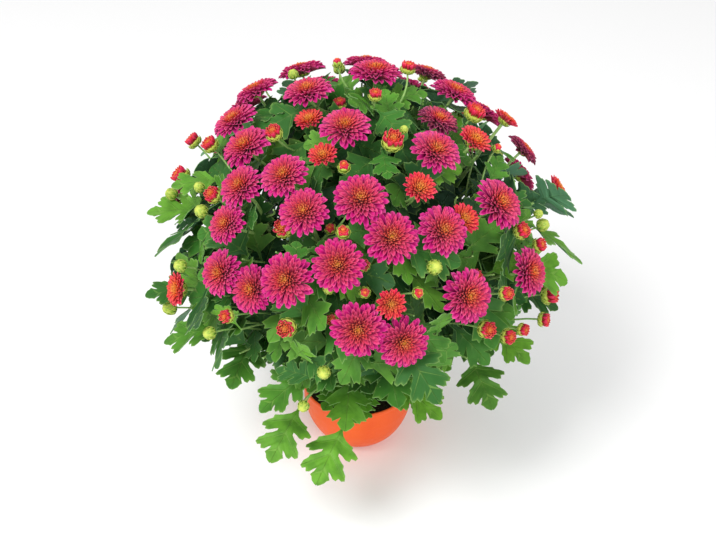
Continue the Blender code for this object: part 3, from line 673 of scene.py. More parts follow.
class Finish:
    """A material with the Principled shader, and short ways to add nodes to it."""

    def __init__(self, name, roughness, **sockets):
        self.material = bpy.data.materials.new(name)
        self.material.use_nodes = True
        self.nodes, self.links = self.material.node_tree.nodes, self.material.node_tree.links
        self.shader = self.nodes["Principled BSDF"]
        self.shader.inputs["Roughness"].default_value = roughness
        for socket, value in sockets.items():
            self.shader.inputs[socket.replace("_", " ")].default_value = value

    def put(self, node, inputs):
        """Links or sets the inputs of a node."""
        for key, value in inputs.items():
            if isinstance(value, bpy.types.NodeSocket):
                self.links.new(value, node.inputs[key])
            else:
                node.inputs[key].default_value = value
        return node

    def attribute(self, name):
        """A number that the mesh carries at each point."""
        node = self.nodes.new("ShaderNodeAttribute")
        node.attribute_name = name
        return node.outputs["Fac"]

    def place(self, stretch=(1, 1, 1)):
        """Object coordinates, stretched."""
        coordinates = self.nodes.new("ShaderNodeTexCoord")
        mapping = self.put(self.nodes.new("ShaderNodeMapping"),
                           {"Vector": coordinates.outputs["Object"], "Scale": stretch})
        return mapping.outputs["Vector"]

    def vector(self, x, y, z):
        """A vector of three numbers."""
        return self.put(self.nodes.new("ShaderNodeCombineXYZ"), {0: x, 1: y, 2: z}).outputs[0]

    def noise(self, vector, scale, detail=2.0):
        """Soft noise from 0 to 1."""
        node = self.put(self.nodes.new("ShaderNodeTexNoise"),
                        {"Vector": vector, "Scale": scale, "Detail": detail})
        return node.outputs["Fac"]

    def math(self, operation, first, second=0.0):
        """One sum, kept from 0 to 1."""
        node = self.nodes.new("ShaderNodeMath")
        node.operation, node.use_clamp = operation, True
        return self.put(node, {0: first, 1: second}).outputs[0]

    def scale(self, value, low, high, to_low=0.0, to_high=1.0):
        """A number moved from one range to another, and kept inside it."""
        node = self.nodes.new("ShaderNodeMapRange")
        return self.put(node, {0: value, 1: low, 2: high, 3: to_low, 4: to_high}).outputs[0]

    def ramp(self, value, *stops):
        """A colour ramp; each stop is a place and a colour."""
        node = self.put(self.nodes.new("ShaderNodeValToRGB"), {"Fac": value})
        while len(node.color_ramp.elements) < len(stops):
            node.color_ramp.elements.new(1)
        for element, (place, colour) in zip(node.color_ramp.elements, stops):
            element.position = place
        for element, (place, colour) in zip(node.color_ramp.elements, stops):
            element.color = (*colour, 1)
        return node.outputs["Color"]

    def mix(self, share, first, second):
        """A mix of two colours."""
        node = self.nodes.new("ShaderNodeMix")
        node.data_type = "RGBA"
        colours = [(*colour, 1) if isinstance(colour, tuple) else colour for colour in (first, second)]
        return self.put(node, {0: share, 6: colours[0], 7: colours[1]}).outputs[2]

    def finish(self, colour, roughness=None, height=None, relief=0.0):
        """Links the colour, and the roughness and the relief where there are any."""
        self.links.new(colour, self.shader.inputs["Base Color"])
        if roughness is not None:
            self.links.new(roughness, self.shader.inputs["Roughness"])
        if height is not None:
            bump = self.put(self.nodes.new("ShaderNodeBump"), {"Height": height, "Distance": relief})
            self.links.new(bump.outputs["Normal"], self.shader.inputs["Normal"])
        return self.material


print("short ways", [name for name in vars(Finish) if not name.startswith("_")])

# %% [markdown]
# ## Petals
#
# A petal of this flower is a soft spoon: narrow at its foot, widest near the end, hollow across, with a
# rounded tip. It could be drawn face by face, but a strip of grid does it better: each row of the strip goes
# to a place on a curve, gets its own width, and its sides are raised. All petals of a flower start as one
# long ribbon, cut into petals, because one operator on a long ribbon is much faster than a hundred on short
# ones. Solidify then gives the whole flower a thin skin, so that every petal is a closed solid.

# %% A petal from a strip of grid
PETAL_ROWS = 4
SPOON = (0.24, 0.44, 0.80, 1.00, 0.72)
BRACT = (0.82, 1.00, 0.94, 0.66, 0.14)
TIP_ROUND = 0.07
MARKS = ("along", "across", "ring", "shade", "plum", "under")


def marked_mesh(names=MARKS):
    """An empty bmesh whose points carry the marks that the finishes read."""
    bm = bmesh.new()
    return bm, {name: bm.verts.layers.float.new(name) for name in names}


def reach_of(point):
    """How far out of the crown a point lies: 1 on its ball."""
    return math.hypot(point.x / CROWN_RADIUS, point.y / CROWN_RADIUS, (point.z - CROWN_CENTRE) / CROWN_RISE)


def place_petal(points, marks, turn, line, width, shape, cup, twist, ring, shade, plum):
    """Sets one petal: its line is three places, out from the axis and up, and the cup raises its sides."""
    out = Vector((math.cos(turn), math.sin(turn), 0))
    side = Vector((-out.y, out.x, 0))
    start, pull, end = (Vector(place) for place in line)
    for row in range(PETAL_ROWS + 1):
        half, rise = width * shape[row], cup * width * shape[row]
        for across in (-1, 0, 1):
            along = row / PETAL_ROWS - (TIP_ROUND * abs(across) if row == PETAL_ROWS else 0)
            rest = 1 - along
            spot = start * rest * rest + pull * 2 * rest * along + end * along * along
            ahead = ((pull - start) * rest + (end - pull) * along).normalized()
            inward = out * -ahead.y + UP * ahead.x
            lean = twist * along
            wide = side * math.cos(lean) + inward * math.sin(lean)
            high = inward * math.cos(lean) - side * math.sin(lean)
            vert = points[row][across + 1]
            vert.co = out * spot.x + UP * spot.y + wide * across * half + high * rise * across * across
            for name, value in zip(MARKS, (along, across, ring, shade, plum, 0)):
                vert[marks[name]] = value


def add_petals(bm, marks, petals, material):
    """Petals from one long ribbon of grid: it is cut across after each petal's last row."""
    rows = PETAL_ROWS + 1
    made = bmesh.ops.create_grid(bm, x_segments=2, y_segments=rows * len(petals) - 1, size=1)["verts"]
    made.sort(key=lambda vert: (round(vert.co.y * rows * len(petals)), vert.co.x))
    owner = {vert: index // (3 * rows) for index, vert in enumerate(made)}
    faces = {face for vert in made for face in vert.link_faces}
    links = [face for face in faces if len({owner[vert] for vert in face.verts}) > 1]
    bmesh.ops.delete(bm, geom=links, context="FACES")
    for face in faces.difference(links):
        face.material_index = material
    for number, petal in enumerate(petals):
        first = number * 3 * rows
        points = [made[first + 3 * row:first + 3 * row + 3] for row in range(rows)]
        place_petal(points, marks, *petal)


def thicken(bm, marks, thickness):
    """Gives every sheet a second side, and marks that side as the one beneath."""
    bmesh.ops.recalc_face_normals(bm, faces=bm.faces)
    made = bmesh.ops.solidify(bm, geom=bm.faces[:], thickness=thickness)["geom"]
    for vert in made:
        if isinstance(vert, bmesh.types.BMVert):
            vert[marks["under"]] = 1


print("faces of one petal", 2 * 2 * PETAL_ROWS + 4 + 2 * PETAL_ROWS)

# %% [markdown]
# The green cups, the buds and the pot are turned shapes: a short profile is spun right round the axis. A spin
# leaves doubles at the poles, so they are merged before the normals are set.

# %% A turned shape, and a finished mesh
POLE_WELD = 0.00002


def add_mesh_of(whole, bm):
    """Adds what a bmesh holds to another and frees it."""
    loose = bpy.data.meshes.new("loose")
    bm.to_mesh(loose)
    bm.free()
    whole.from_mesh(loose)
    bpy.data.meshes.remove(loose)


def turn_profile(bm, profile, steps, material=0, **values):
    """A profile of places, out from the axis and up, turned right round; it may carry marks."""
    before = set(bm.verts)
    line = [bm.verts.new((out, 0, height)) for out, height in profile]
    edges = [bm.edges.new(pair) for pair in zip(line, line[1:])]
    bmesh.ops.spin(bm, geom=line + edges, axis=UP, cent=(0, 0, 0), steps=steps, angle=math.tau,
                   use_merge=True)
    made = [vert for vert in bm.verts if vert not in before]
    bmesh.ops.remove_doubles(bm, verts=made, dist=POLE_WELD)
    made = [vert for vert in bm.verts if vert not in before]
    top = max(height for _, height in profile)
    for vert in made:
        for name, layer in bm.verts.layers.float.items():
            vert[layer] = vert.co.z / top if name == "along" else values.get(name, 0)
    faces = {face for vert in made for face in vert.link_faces}
    for face in faces:
        face.material_index = material
    bmesh.ops.recalc_face_normals(bm, faces=list(faces))
    return made


SHARP = math.radians(48)


def to_mesh(bm, name, finishes):
    """A smooth mesh of a bmesh, sharp where its faces meet at more than SHARP, with its finishes."""
    mesh = bpy.data.meshes.new(name)
    bm.to_mesh(mesh)
    bm.free()
    mesh.shade_smooth()
    mesh.set_sharp_from_angle(angle=SHARP)
    for finish in finishes:
        mesh.materials.append(finish)
    return mesh


BODY = next(iter(frame["bodies"]))


def keep(name, mesh, slot, *nodes):
    """Puts a mesh in the scene as a piece that rides on the model and stands for its nodes."""
    piece = bpy.data.objects.new(name, mesh)
    bpy.context.scene.collection.objects.link(piece)
    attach(piece, BODY)
    if nodes:
        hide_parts(*nodes)
    return piece


print("every piece rides on", BODY)

# %% [markdown]
# ## The colours of the petals
#
# Young petals of this flower are red with golden tips, and turn magenta as they grow out. In one bloom the
# petal's age runs from its rim to its middle, so the mesh marks each petal with a ring, and one ramp gives
# the colour. A petal is finely streaked. Its darker foot is painted shade, the shade between the petals.
# Its paler tip and sides are partly its own paler, golden tip and partly a painted highlight.

# %% Petal, calyx and disc finishes


def petal_finish(name, foot_shade_and_streak_colour, tip_and_highlight_colours, *stops):
    """Petals whose colour follows their ring, from the rim of the bloom to its middle."""
    finish = Finish(name, 0.5, Sheen_Weight=0.08, Sheen_Roughness=0.4, Specular_IOR_Level=0.3)
    along, across = finish.attribute("along"), finish.attribute("across")
    ring, shade = finish.attribute("ring"), finish.attribute("shade")
    plum = finish.math("MULTIPLY", finish.attribute("plum"), finish.scale(ring, 0.35, 0.75, 1, 0))
    grown = finish.mix(plum, finish.ramp(ring, *stops), (0.16, 0.003, 0.045))
    streaks = finish.noise(finish.vector(finish.math("MAXIMUM", across, 0), along, shade), 9, 3)
    # Painted shade: each petal is darkened towards its foot, where the shade between the petals falls.
    foot = finish.mix(finish.scale(along, 0.25, 0.85, 0.9, 0), grown, foot_shade_and_streak_colour)
    # The fine streaks are the petal's own; they darken towards the same colour.
    streaked = finish.mix(finish.scale(streaks, 0.45, 0.75, 0, 0.4), foot, foot_shade_and_streak_colour)
    # Paler tip and sides: partly the petal's own paler, golden tip, partly a painted highlight.
    end = finish.math("MULTIPLY", finish.scale(along, 0.84, 1.0), finish.scale(shade, 0.2, 1, 0.05, 0.5))
    edge = finish.math("POWER", finish.math("ABSOLUTE", across), 4)
    edge = finish.math("MULTIPLY", edge, finish.scale(along, 0.5, 1, 0.04, 0.22))
    pale = finish.mix(finish.math("MAXIMUM", end, edge), streaked, finish.ramp(ring, *tip_and_highlight_colours))
    beneath = finish.mix(finish.math("MULTIPLY", finish.attribute("under"), 0.3), pale, (0.80, 0.12, 0.14))
    return finish.finish(beneath, height=streaks, relief=0.0002)


# The first colour of each call is the dark colour of the painted shade at the petals' feet, also used for the
# streaks.
full_petals = petal_finish(
    "full_petals", (0.12, 0.001, 0.040),
    # Colours of the paler tips: partly the petals' own, partly a painted highlight.
    ((0.0, (0.95, 0.22, 0.55)), (0.6, (0.95, 0.20, 0.32)), (0.85, (0.95, 0.40, 0.12)),
     (1.0, (0.95, 0.62, 0.22))),
    (0.0, (0.56, 0.005, 0.205)), (0.45, (0.56, 0.005, 0.165)), (0.64, (0.56, 0.006, 0.095)),
    (0.78, (0.60, 0.012, 0.038)), (0.90, (0.72, 0.065, 0.016)), (1.0, (0.74, 0.22, 0.015)))
opening_petals = petal_finish(
    "opening_petals", (0.26, 0.003, 0.014),
    # Colours of the paler tips: partly the petals' own, partly a painted highlight.
    ((0.0, (0.95, 0.24, 0.30)), (0.6, (0.95, 0.35, 0.12)), (1.0, (0.95, 0.65, 0.15))),
    (0.0, (0.70, 0.010, 0.085)), (0.38, (0.74, 0.018, 0.034)), (0.68, (0.82, 0.085, 0.014)),
    (1.0, (0.86, 0.36, 0.03)))

calyx = Finish("calyx", 0.5, Specular_IOR_Level=0.35)
blotches = calyx.noise(calyx.place(), 420)
green = calyx.ramp(calyx.attribute("along"), (0.0, (0.12, 0.28, 0.03)), (0.5, (0.30, 0.44, 0.045)),
                   (1.0, (0.52, 0.58, 0.09)))
edged = calyx.mix(calyx.scale(calyx.math("ABSOLUTE", calyx.attribute("across")), 0.55, 1.0, 0, 0.35), green,
                  (0.62, 0.66, 0.20))
spotted = calyx.mix(calyx.scale(blotches, 0.5, 0.8, 0, 0.3), edged, (0.26, 0.44, 0.05))
calyx = calyx.finish(spotted, height=blotches, relief=0.0003)

disc = Finish("disc", 0.6)
grains = disc.noise(disc.place(), 1500, 1)
disc = disc.finish(disc.ramp(grains, (0.35, (0.30, 0.10, 0.01)), (0.6, (0.75, 0.36, 0.03))), height=grains,
                   relief=0.0006)
print("finishes", [made.name for made in (full_petals, opening_petals, calyx, disc)])

# %% [markdown]
# ## Flower heads
#
# A mum makes its petals one after the other in a spiral. Here too: petal after petal is set a golden turn on,
# and its age says how far its tip reaches, how high it stands and how steeply it rises. The kinds of head
# differ only in those rules, kept in one table. A bud that is about to open shows a tight knot of petals.
# Three blooms have aged to a dark plum.

# %% Rules of the flower heads, in shares of the head's radius
HABITS = {
    # petals, tip out, tip height, rise at the tip in degrees,
    # then foot out, foot height, half width, cup;
    # each pair is for the outermost petal and the one in the middle
    "full": (150, (1.09, 0.10), (0.06, 0.60), (-16, 100),
             (0.18, 0.02), (0.06, 0.22), (0.108, 0.042), (0.8, 1.3)),
    "opening": (92, (1.06, 0.10), (0.48, 0.80), (16, 102),
                (0.16, 0.02), (0.14, 0.30), (0.110, 0.052), (0.9, 1.3)),
    "cup": (40, (0.90, 0.10), (1.34, 1.26), (122, 98),
            (0.66, 0.06), (0.34, 0.55), (0.240, 0.100), (0.8, 1.2)),
    "tight": (24, (0.72, 0.06), (1.44, 1.80), (132, 102),
              (0.92, 0.30), (0.56, 1.10), (0.400, 0.150), (0.6, 0.9)),
}
TIP_POWER, HEIGHT_POWER, RISE_POWER = 1.45, 0.70, 0.85
LOOSENESS, RISE_SWAY, TIP_SPREAD, HEIGHT_SPREAD = (0.9, 1.15), 9, (0.93, 1.0), 0.03
TURN_SWAY, WIDTH_SPREAD, TWIST_SWAY, PULL_SHARE = 0.1, (0.86, 1.16), 16, 0.5
DOMES, DOME_REACH = {"full": 0.10, "opening": 0.08, "cup": 0.06, "tight": 0.06}, 1.2
BRACT_ROWS = {
    # number of bracts, their line, half width
    "full": ((11, ((0.12, 0.00), (0.29, 0.01), (0.31, 0.12)), 0.07),
             (9, ((0.10, -0.01), (0.20, -0.02), (0.25, 0.05)), 0.06)),
    "opening": ((11, ((0.20, 0.02), (0.48, 0.06), (0.50, 0.36)), 0.11),
                (8, ((0.16, 0.00), (0.36, 0.00), (0.42, 0.16)), 0.10)),
    "cup": ((9, ((0.42, 0.05), (0.92, 0.14), (0.93, 0.66)), 0.26),
            (8, ((0.30, 0.00), (0.76, 0.02), (0.88, 0.34)), 0.24)),
    "tight": ((8, ((0.40, 0.04), (1.02, 0.20), (1.02, 0.70)), 0.32),
              (7, ((0.36, 0.02), (0.90, 0.08), (0.98, 0.42)), 0.30)),
    "bud": ((7, ((0.40, 0.04), (1.08, 0.32), (1.05, 1.05)), 0.36),
            (7, ((0.90, 0.50), (1.12, 1.12), (0.84, 1.62)), 0.36),
            (5, ((0.84, 1.30), (0.76, 1.84), (0.26, 2.06)), 0.28)),
}
CUP_PROFILES = {
    "full": ((0, 0), (0.11, 0), (0.22, 0.04), (0.26, 0.10), (0.20, 0.16), (0, 0.18)),
    "opening": ((0, 0), (0.17, 0), (0.34, 0.09), (0.43, 0.22), (0.38, 0.32), (0, 0.34)),
    "cup": ((0, 0), (0.32, 0.02), (0.68, 0.16), (0.84, 0.36), (0.82, 0.54), (0.64, 0.58), (0, 0.55)),
    "tight": ((0, 0), (0.34, 0.03), (0.80, 0.34), (0.90, 0.70), (0.82, 1.00), (0.50, 1.26), (0, 1.34)),
    "bud": ((0, 0), (0.34, 0.03), (0.80, 0.34), (0.98, 0.90), (0.86, 1.50), (0.50, 1.92), (0, 2.06)),
}
DISCS = {"full": (0.09, 0.36, 0.10), "opening": (0.14, 0.50, 0.12), "cup": (0.24, 0.86, 0.14)}
CUP_STEPS, BRACT_SWAY, BRACT_CUP = 16, 0.05, -0.3
PETAL_SKIN = 0.0003


def between(pair, age, power=1.0):
    """A value between that of the outermost petal and that of the middle one."""
    return pair[0] + (pair[1] - pair[0]) * age**power


def petals_of(head, draw):
    """Every petal of a head, from its rim to its middle."""
    count, tips, heights, rises, feet, foot_heights, widths, cups = HABITS[head.look]
    looseness = draw.uniform(*LOOSENESS)
    for number in range(count):
        age = (number + 0.5) / count
        rise = math.radians(between(rises, age, RISE_POWER) + draw.uniform(-RISE_SWAY, RISE_SWAY) * looseness)
        dome = DOMES[head.look] * math.sin(math.pi * min(1, age * DOME_REACH))
        tip_out = between(tips, age, TIP_POWER) * draw.uniform(*TIP_SPREAD)
        tip_height = between(heights, age, HEIGHT_POWER) + dome + draw.uniform(-HEIGHT_SPREAD, HEIGHT_SPREAD)
        tip = Vector((tip_out, tip_height))
        foot = Vector((between(feet, age), between(foot_heights, age)))
        pull = tip - Vector((math.cos(rise), math.sin(rise))) * (tip - foot).length * PULL_SHARE
        yield (GOLDEN_TURN * number + draw.uniform(-TURN_SWAY, TURN_SWAY), (foot, pull, tip),
               between(widths, age) * draw.uniform(*WIDTH_SPREAD), SPOON, between(cups, age),
               math.radians(draw.uniform(-TWIST_SWAY, TWIST_SWAY)), age, draw.random(), head.plum)


def flower(head, seed):
    """The bmesh of one head of unit radius, with petals, bracts, a green cup and a disc."""
    draw = random.Random(seed)
    bm, marks = marked_mesh()
    if head.look in HABITS:
        add_petals(bm, marks, list(petals_of(head, draw)), 0)
    bracts = []
    for row, (count, line, width) in enumerate(BRACT_ROWS[head.look]):
        for number in range(count):
            turn = math.tau * (number + row / 2) / count + draw.uniform(-BRACT_SWAY, BRACT_SWAY)
            bracts.append((turn, line, width, BRACT, BRACT_CUP, 0, 0, draw.random(), 0))
    add_petals(bm, marks, bracts, 1)
    thicken(bm, marks, PETAL_SKIN / head.radius)
    cup, marks = marked_mesh()
    turn_profile(cup, CUP_PROFILES[head.look], CUP_STEPS, 1, shade=draw.random())
    if head.look in DISCS:
        out, height, rise = DISCS[head.look]
        round_side = [(out * math.sin(step), height + rise / 2 * (1 - math.cos(step)))
                      for step in (math.pi * 0.5, math.pi * 0.75)]
        turn_profile(cup, [(0, height), *round_side, (0, height + rise)], CUP_STEPS, 2)
    add_mesh_of(bm, cup)
    bm.transform(head.matrix())
    return bm


PLUM_BLOOMS = ("bloom_full_04", "bloom_full_25", "bloom_full_26")
BLOOM_SEED, SMALL_SEED = 100, 400
for number, head in enumerate(heads):
    head.look = "tight" if head.kind == "bud" and number % 3 == 0 else head.kind
    head.plum = float(head.name in PLUM_BLOOMS)
trial = flower(heads[0], 1)
print("one full bloom has", sum(len(face.verts) - 2 for face in trial.faces), "triangles")
trial.free()

# %% Full and opening blooms, one piece for each node
for number, head in enumerate(heads):
    if head.bloom:
        petals = full_petals if head.kind == "full" else opening_petals
        mesh = to_mesh(flower(head, BLOOM_SEED + number), head.name, (petals, calyx, disc))
        keep(head.name.replace("bloom", "mum"), mesh, f"{head.kind}_petals", head.name)
print("blooms", sum(head.bloom for head in heads))

# %% [markdown]
# ## Half-open heads and buds
#
# These belong to the leafy plants, so each plant gets one piece with all of its own. Each head is built by
# itself, put in its place and then added to the plant's mesh.

# %% Half-open heads and buds
PLANT_NAMES = ("middle", "front", "right", "back_right", "back_left", "left")

for plant, name in zip(plants, PLANT_NAMES):
    whole, _ = marked_mesh()
    small = [head for head in plant.own if not head.bloom]
    for head in small:
        add_mesh_of(whole, flower(head, SMALL_SEED + heads.index(head)))
    mesh = to_mesh(whole, f"small_heads_{name}", (opening_petals, calyx, disc))
    keep(f"small_heads_{name}", mesh, "foliage")
    print(name, "half-open heads and buds", len(small))

# %% [markdown]
# ## Stems
#
# A stem is a pale green rod, ribbed along its length and thinner towards its flower. A curve
# with a round bevel makes it: one curve object holds all the stems of a plant, and each point's radius sets
# how thick the stem is there. It is made a mesh at the end, so that the piece carries no live curve.

# %% The finish of the stems
stem = Finish("stem", 0.45, Specular_IOR_Level=0.4)
ribs = stem.noise(stem.place((1, 1, 0.12)), 900, 2)
patches = stem.noise(stem.place(), 60, 3)
stem_green = stem.mix(stem.scale(patches, 0.35, 0.7), (0.20, 0.40, 0.09), (0.36, 0.52, 0.17))
ribbed = stem.mix(stem.scale(ribs, 0.45, 0.75, 0, 0.45), stem_green, (0.10, 0.25, 0.05))
stem = stem.finish(ribbed, height=ribs, relief=0.0004)
TWIG_RADIUS, WELD = 0.0010, 0.00001


def stems_mesh(plant, name):
    """All the stems of one plant as one mesh."""
    curve = bpy.data.curves.new(name, "CURVE")
    curve.dimensions = "3D"
    curve.bevel_depth = STEM_RADIUS
    curve.bevel_resolution = 1
    curve.use_fill_caps = True
    lines = [([plant.leader[0]] + bezier(plant.leader_controls, CURVE_SHARES), STEM_RADIUS, STALK_RADIUS)]
    for controls, head in plant.stalks:
        thick = STALK_RADIUS if head and head.bloom else TWIG_RADIUS
        lines.append((bezier(controls, CURVE_SHARES), thick, thick * STALK_TAPER))
    for line, low, high in lines:
        spline = curve.splines.new("POLY")
        spline.points.add(len(line) - 1)
        for index, (knot, point) in enumerate(zip(spline.points, line)):
            knot.co = (*point, 1)
            knot.radius = (low + (high - low) * index / (len(line) - 1)) / STEM_RADIUS
    guide = bpy.data.objects.new(name, curve)
    bpy.context.scene.collection.objects.link(guide)
    bm = bmesh.new()
    bm.from_mesh(bpy.data.meshes.new_from_object(guide.evaluated_get(bpy.context.evaluated_depsgraph_get())))
    bpy.data.objects.remove(guide)
    bmesh.ops.remove_doubles(bm, verts=bm.verts, dist=WELD)
    bmesh.ops.recalc_face_normals(bm, faces=bm.faces)
    return to_mesh(bm, name, (stem,))


print("finish", stem.name)

# %% Stems of every plant
for plant, name in zip(plants, PLANT_NAMES):
    mesh = stems_mesh(plant, f"stems_{name}")
    keep(f"stems_{name}", mesh, "foliage", f"plant_{name}")
    print(name, "stems", len(plant.stalks) + 1, "polygons", len(mesh.polygons))

# %% [markdown]
# ## Leaves
#
# The leaf of a mum is cut into lobes, each with a tooth or two, and its veins run to the lobes' tips. A strip
# of grid two faces wide makes it: the middle row is the midrib, and the two outer rows follow the cut edge.
# Each column runs from a place on the midrib to a place on the edge, so the columns that end in a tip are
# where the veins lie, and the mesh marks them. Leaves that lie deeper in the crown get fewer columns.

# %% The edge of a leaf, as shares of its length
LEAF_EDGE = (
    # along, out, where its column starts on the midrib, and whether a vein runs there
    (0.00, 0.016, 0.00, 0), (0.10, 0.017, 0.10, 0), (0.20, 0.022, 0.19, 0), (0.27, 0.060, 0.24, 0),
    (0.33, 0.130, 0.27, 0), (0.365, 0.195, 0.285, 0), (0.385, 0.255, 0.30, 0), (0.43, 0.262, 0.305, 0),
    (0.465, 0.325, 0.32, 0), (0.515, 0.385, 0.335, 1), (0.56, 0.372, 0.35, 0), (0.56, 0.310, 0.365, 0),
    (0.605, 0.300, 0.38, 0), (0.60, 0.240, 0.395, 0), (0.56, 0.175, 0.415, 0), (0.535, 0.118, 0.44, 0),
    (0.575, 0.122, 0.47, 0), (0.63, 0.175, 0.50, 0), (0.675, 0.245, 0.52, 0), (0.715, 0.250, 0.53, 0),
    (0.765, 0.305, 0.55, 0), (0.825, 0.325, 0.565, 1), (0.85, 0.290, 0.58, 0), (0.835, 0.240, 0.60, 0),
    (0.88, 0.220, 0.62, 0), (0.87, 0.170, 0.64, 0), (0.825, 0.122, 0.67, 0), (0.805, 0.088, 0.70, 0),
    (0.85, 0.105, 0.75, 0), (0.90, 0.142, 0.80, 1), (0.925, 0.112, 0.84, 0), (0.965, 0.090, 0.90, 0),
    (1.00, 0.042, 0.96, 0), (1.012, 0.010, 1.0, 1),
)
PLAIN_COLUMNS = (0, 2, 5, 9, 11, 12, 15, 18, 21, 23, 24, 27, 29, 31, 33)
LEAF_SKIN, LEAF_WAVE, LEAF_CURL = 0.0005, 0.10, (0.0, 0.75)
FINE_REACH, SHADE_REACH, SHADE_FADE = 0.872, 0.90, 0.30
PLAIN_VEIN, WAVE_TURNS, SKIRT_TOP, SKIRT_FADE = 0.6, 13, 0.20, 0.12


def add_leaf(bm, marks, blade, draw, fine):
    """One leaf of a plant, with its edge waved and its lobes curled down a little."""
    place = leaf_place(blade)
    middle = blade[0] + blade[1] * blade[3] * LEAF_MIDDLE
    edge = LEAF_EDGE if fine else [LEAF_EDGE[column] for column in PLAIN_COLUMNS]
    columns = len(edge) - 1
    phase, shade, curl = draw.uniform(0, math.tau), draw.random(), draw.uniform(*LEAF_CURL)
    low = min(1, max(0, (SKIRT_TOP - middle.z) / SKIRT_FADE))
    for vert in bmesh.ops.create_grid(bm, x_segments=columns, y_segments=2, size=1)["verts"]:
        share, out, rib, vein = edge[round((vert.co.x + 1) / 2 * columns)]
        vein *= 1 if fine else PLAIN_VEIN
        hand = round(vert.co.y)
        if hand:
            wave = LEAF_WAVE * out * math.sin(share * WAVE_TURNS + phase + hand) - curl * out * out
            vert.co = place(share, out * hand, wave)
        else:
            vert.co = place(rib, 0)
            share, vein = rib, 1
        # Painted shade: the further inside the crown a point lies, the darker its leaf is painted.
        deep = min(1, max(0, (SHADE_REACH - reach_of(vert.co)) / SHADE_FADE))
        for name, value in zip(LEAF_MARKS, (share, abs(hand), vein, shade, low, deep, 0)):
            vert[marks[name]] = value


print("columns of a leaf", len(LEAF_EDGE) - 1, "and of one deep in the crown", len(PLAIN_COLUMNS) - 1)

# %% [markdown]
# Lit leaves are fresh green, paler low down where the skirt of leaves hangs over the pot, with yellower veins
# and a thin pale edge. Beneath they are dull and greyer. Deep in the crown they are darkened with painted
# shade.

# %% The finish of the leaves
leaf = Finish("leaf", 0.5, Specular_IOR_Level=0.25)
mottle = leaf.noise(leaf.place(), 90, 3)
own = leaf.ramp(leaf.attribute("shade"), (0.0, (0.013, 0.075, 0.016)), (0.45, (0.040, 0.170, 0.016)),
                (1.0, (0.135, 0.350, 0.026)))
# Paler and yellower low down, where the skirt of leaves hangs over the pot.
paler_low_down = leaf.mix(leaf.math("MULTIPLY", leaf.attribute("low"), 0.8), own, (0.195, 0.47, 0.032))
# Painted shade: leaves deep in the crown are mixed towards a dark blue-green.
deep = leaf.mix(leaf.math("MULTIPLY", leaf.attribute("deep"), 0.9), paler_low_down, (0.004, 0.026, 0.016))
mottled = leaf.mix(leaf.scale(mottle, 0.42, 0.72, 0, 0.5), deep, (0.016, 0.085, 0.010))
vein_line = leaf.math("POWER", leaf.attribute("vein"), 30)
veined = leaf.mix(leaf.math("MULTIPLY", vein_line, 0.30), mottled, (0.24, 0.42, 0.08))
rim = leaf.math("POWER", leaf.attribute("across"), 22)
rimmed = leaf.mix(leaf.math("MULTIPLY", rim, 0.45), veined, (0.32, 0.50, 0.11))
dull = leaf.mix(leaf.math("MULTIPLY", leaf.attribute("under"), 0.6), rimmed, (0.13, 0.30, 0.19))
leaf = leaf.finish(dull, leaf.scale(mottle, 0.3, 0.7, 0.5, 0.68), vein_line, 0.0006)
print("finish", leaf.name)

# %% Leaves of every plant
LEAF_MARKS = ("along", "across", "vein", "shade", "low", "deep", "under")
LEAF_SEED, fine_leaves = 50, 0
for number, (plant, name) in enumerate(zip(plants, PLANT_NAMES)):
    bm, marks = marked_mesh(LEAF_MARKS)
    draw = random.Random(LEAF_SEED + number)
    for blade in plant.blades:
        fine = reach_of(blade[0] + blade[1] * blade[3] * LEAF_MIDDLE) > FINE_REACH
        fine_leaves += fine
        add_leaf(bm, marks, blade, draw, fine)
    thicken(bm, marks, LEAF_SKIN)
    mesh = to_mesh(bm, f"leaves_{name}", (leaf,))
    keep(f"leaves_{name}", mesh, "foliage")
    print(name, "leaves", len(plant.blades), "polygons", len(mesh.polygons))
print("leaves with all their teeth", fine_leaves)

# %% [markdown]
# ## The pot
#
# A thin plastic pot in terracotta orange, smooth and round-sided, with a small lip. Its outline is a smooth
# curve through a few widths at their heights. Spun 96 times it shows no facets, where the solid has 18.

# %% The pot
POT_WALL, POT_STEPS = 0.0022, 96
POT_PLACES = ((0.0310, 0.0), (0.0375, 0.006), (0.0450, 0.016), (0.0510, 0.030), (0.0542, 0.046))
# The hollow under the base, and the lip: how far each point lies in from the rim and below it
FOOT_LINE = ((0, 0.0006), (0.024, 0.0006), (0.0255, 0.0))
LIP_LINE = ((0.0009, 0.0052), (0.0009, 0.0045), (0.000225, 0.0040), (0, 0.0030), (0, 0.0010),
            (0.0006, 0.0002), (0.0013, 0), (POT_WALL - 0.0003, 0.0004), (POT_WALL, 0.0012))
DRAIN_HOLES, DRAIN_RADIUS, DRAIN_RING, DRAIN_STEPS = 4, 0.0035, 0.018, 24


def smooth_line(places, steps=6):
    """Places along a smooth curve that passes through all of these."""
    ends = [places[0], *places, places[-1]]
    found = []
    for before, start, end, after in zip(ends, ends[1:], ends[2:], ends[3:]):
        for step in range(steps):
            share = step / steps
            found.append(tuple(
                0.5 * (2 * b + (c - a) * share + (2 * a - 5 * b + 4 * c - d) * share**2
                       + (3 * b - a - 3 * c + d) * share**3)
                for a, b, c, d in zip(before, start, end, after)))
    return found + [places[-1]]


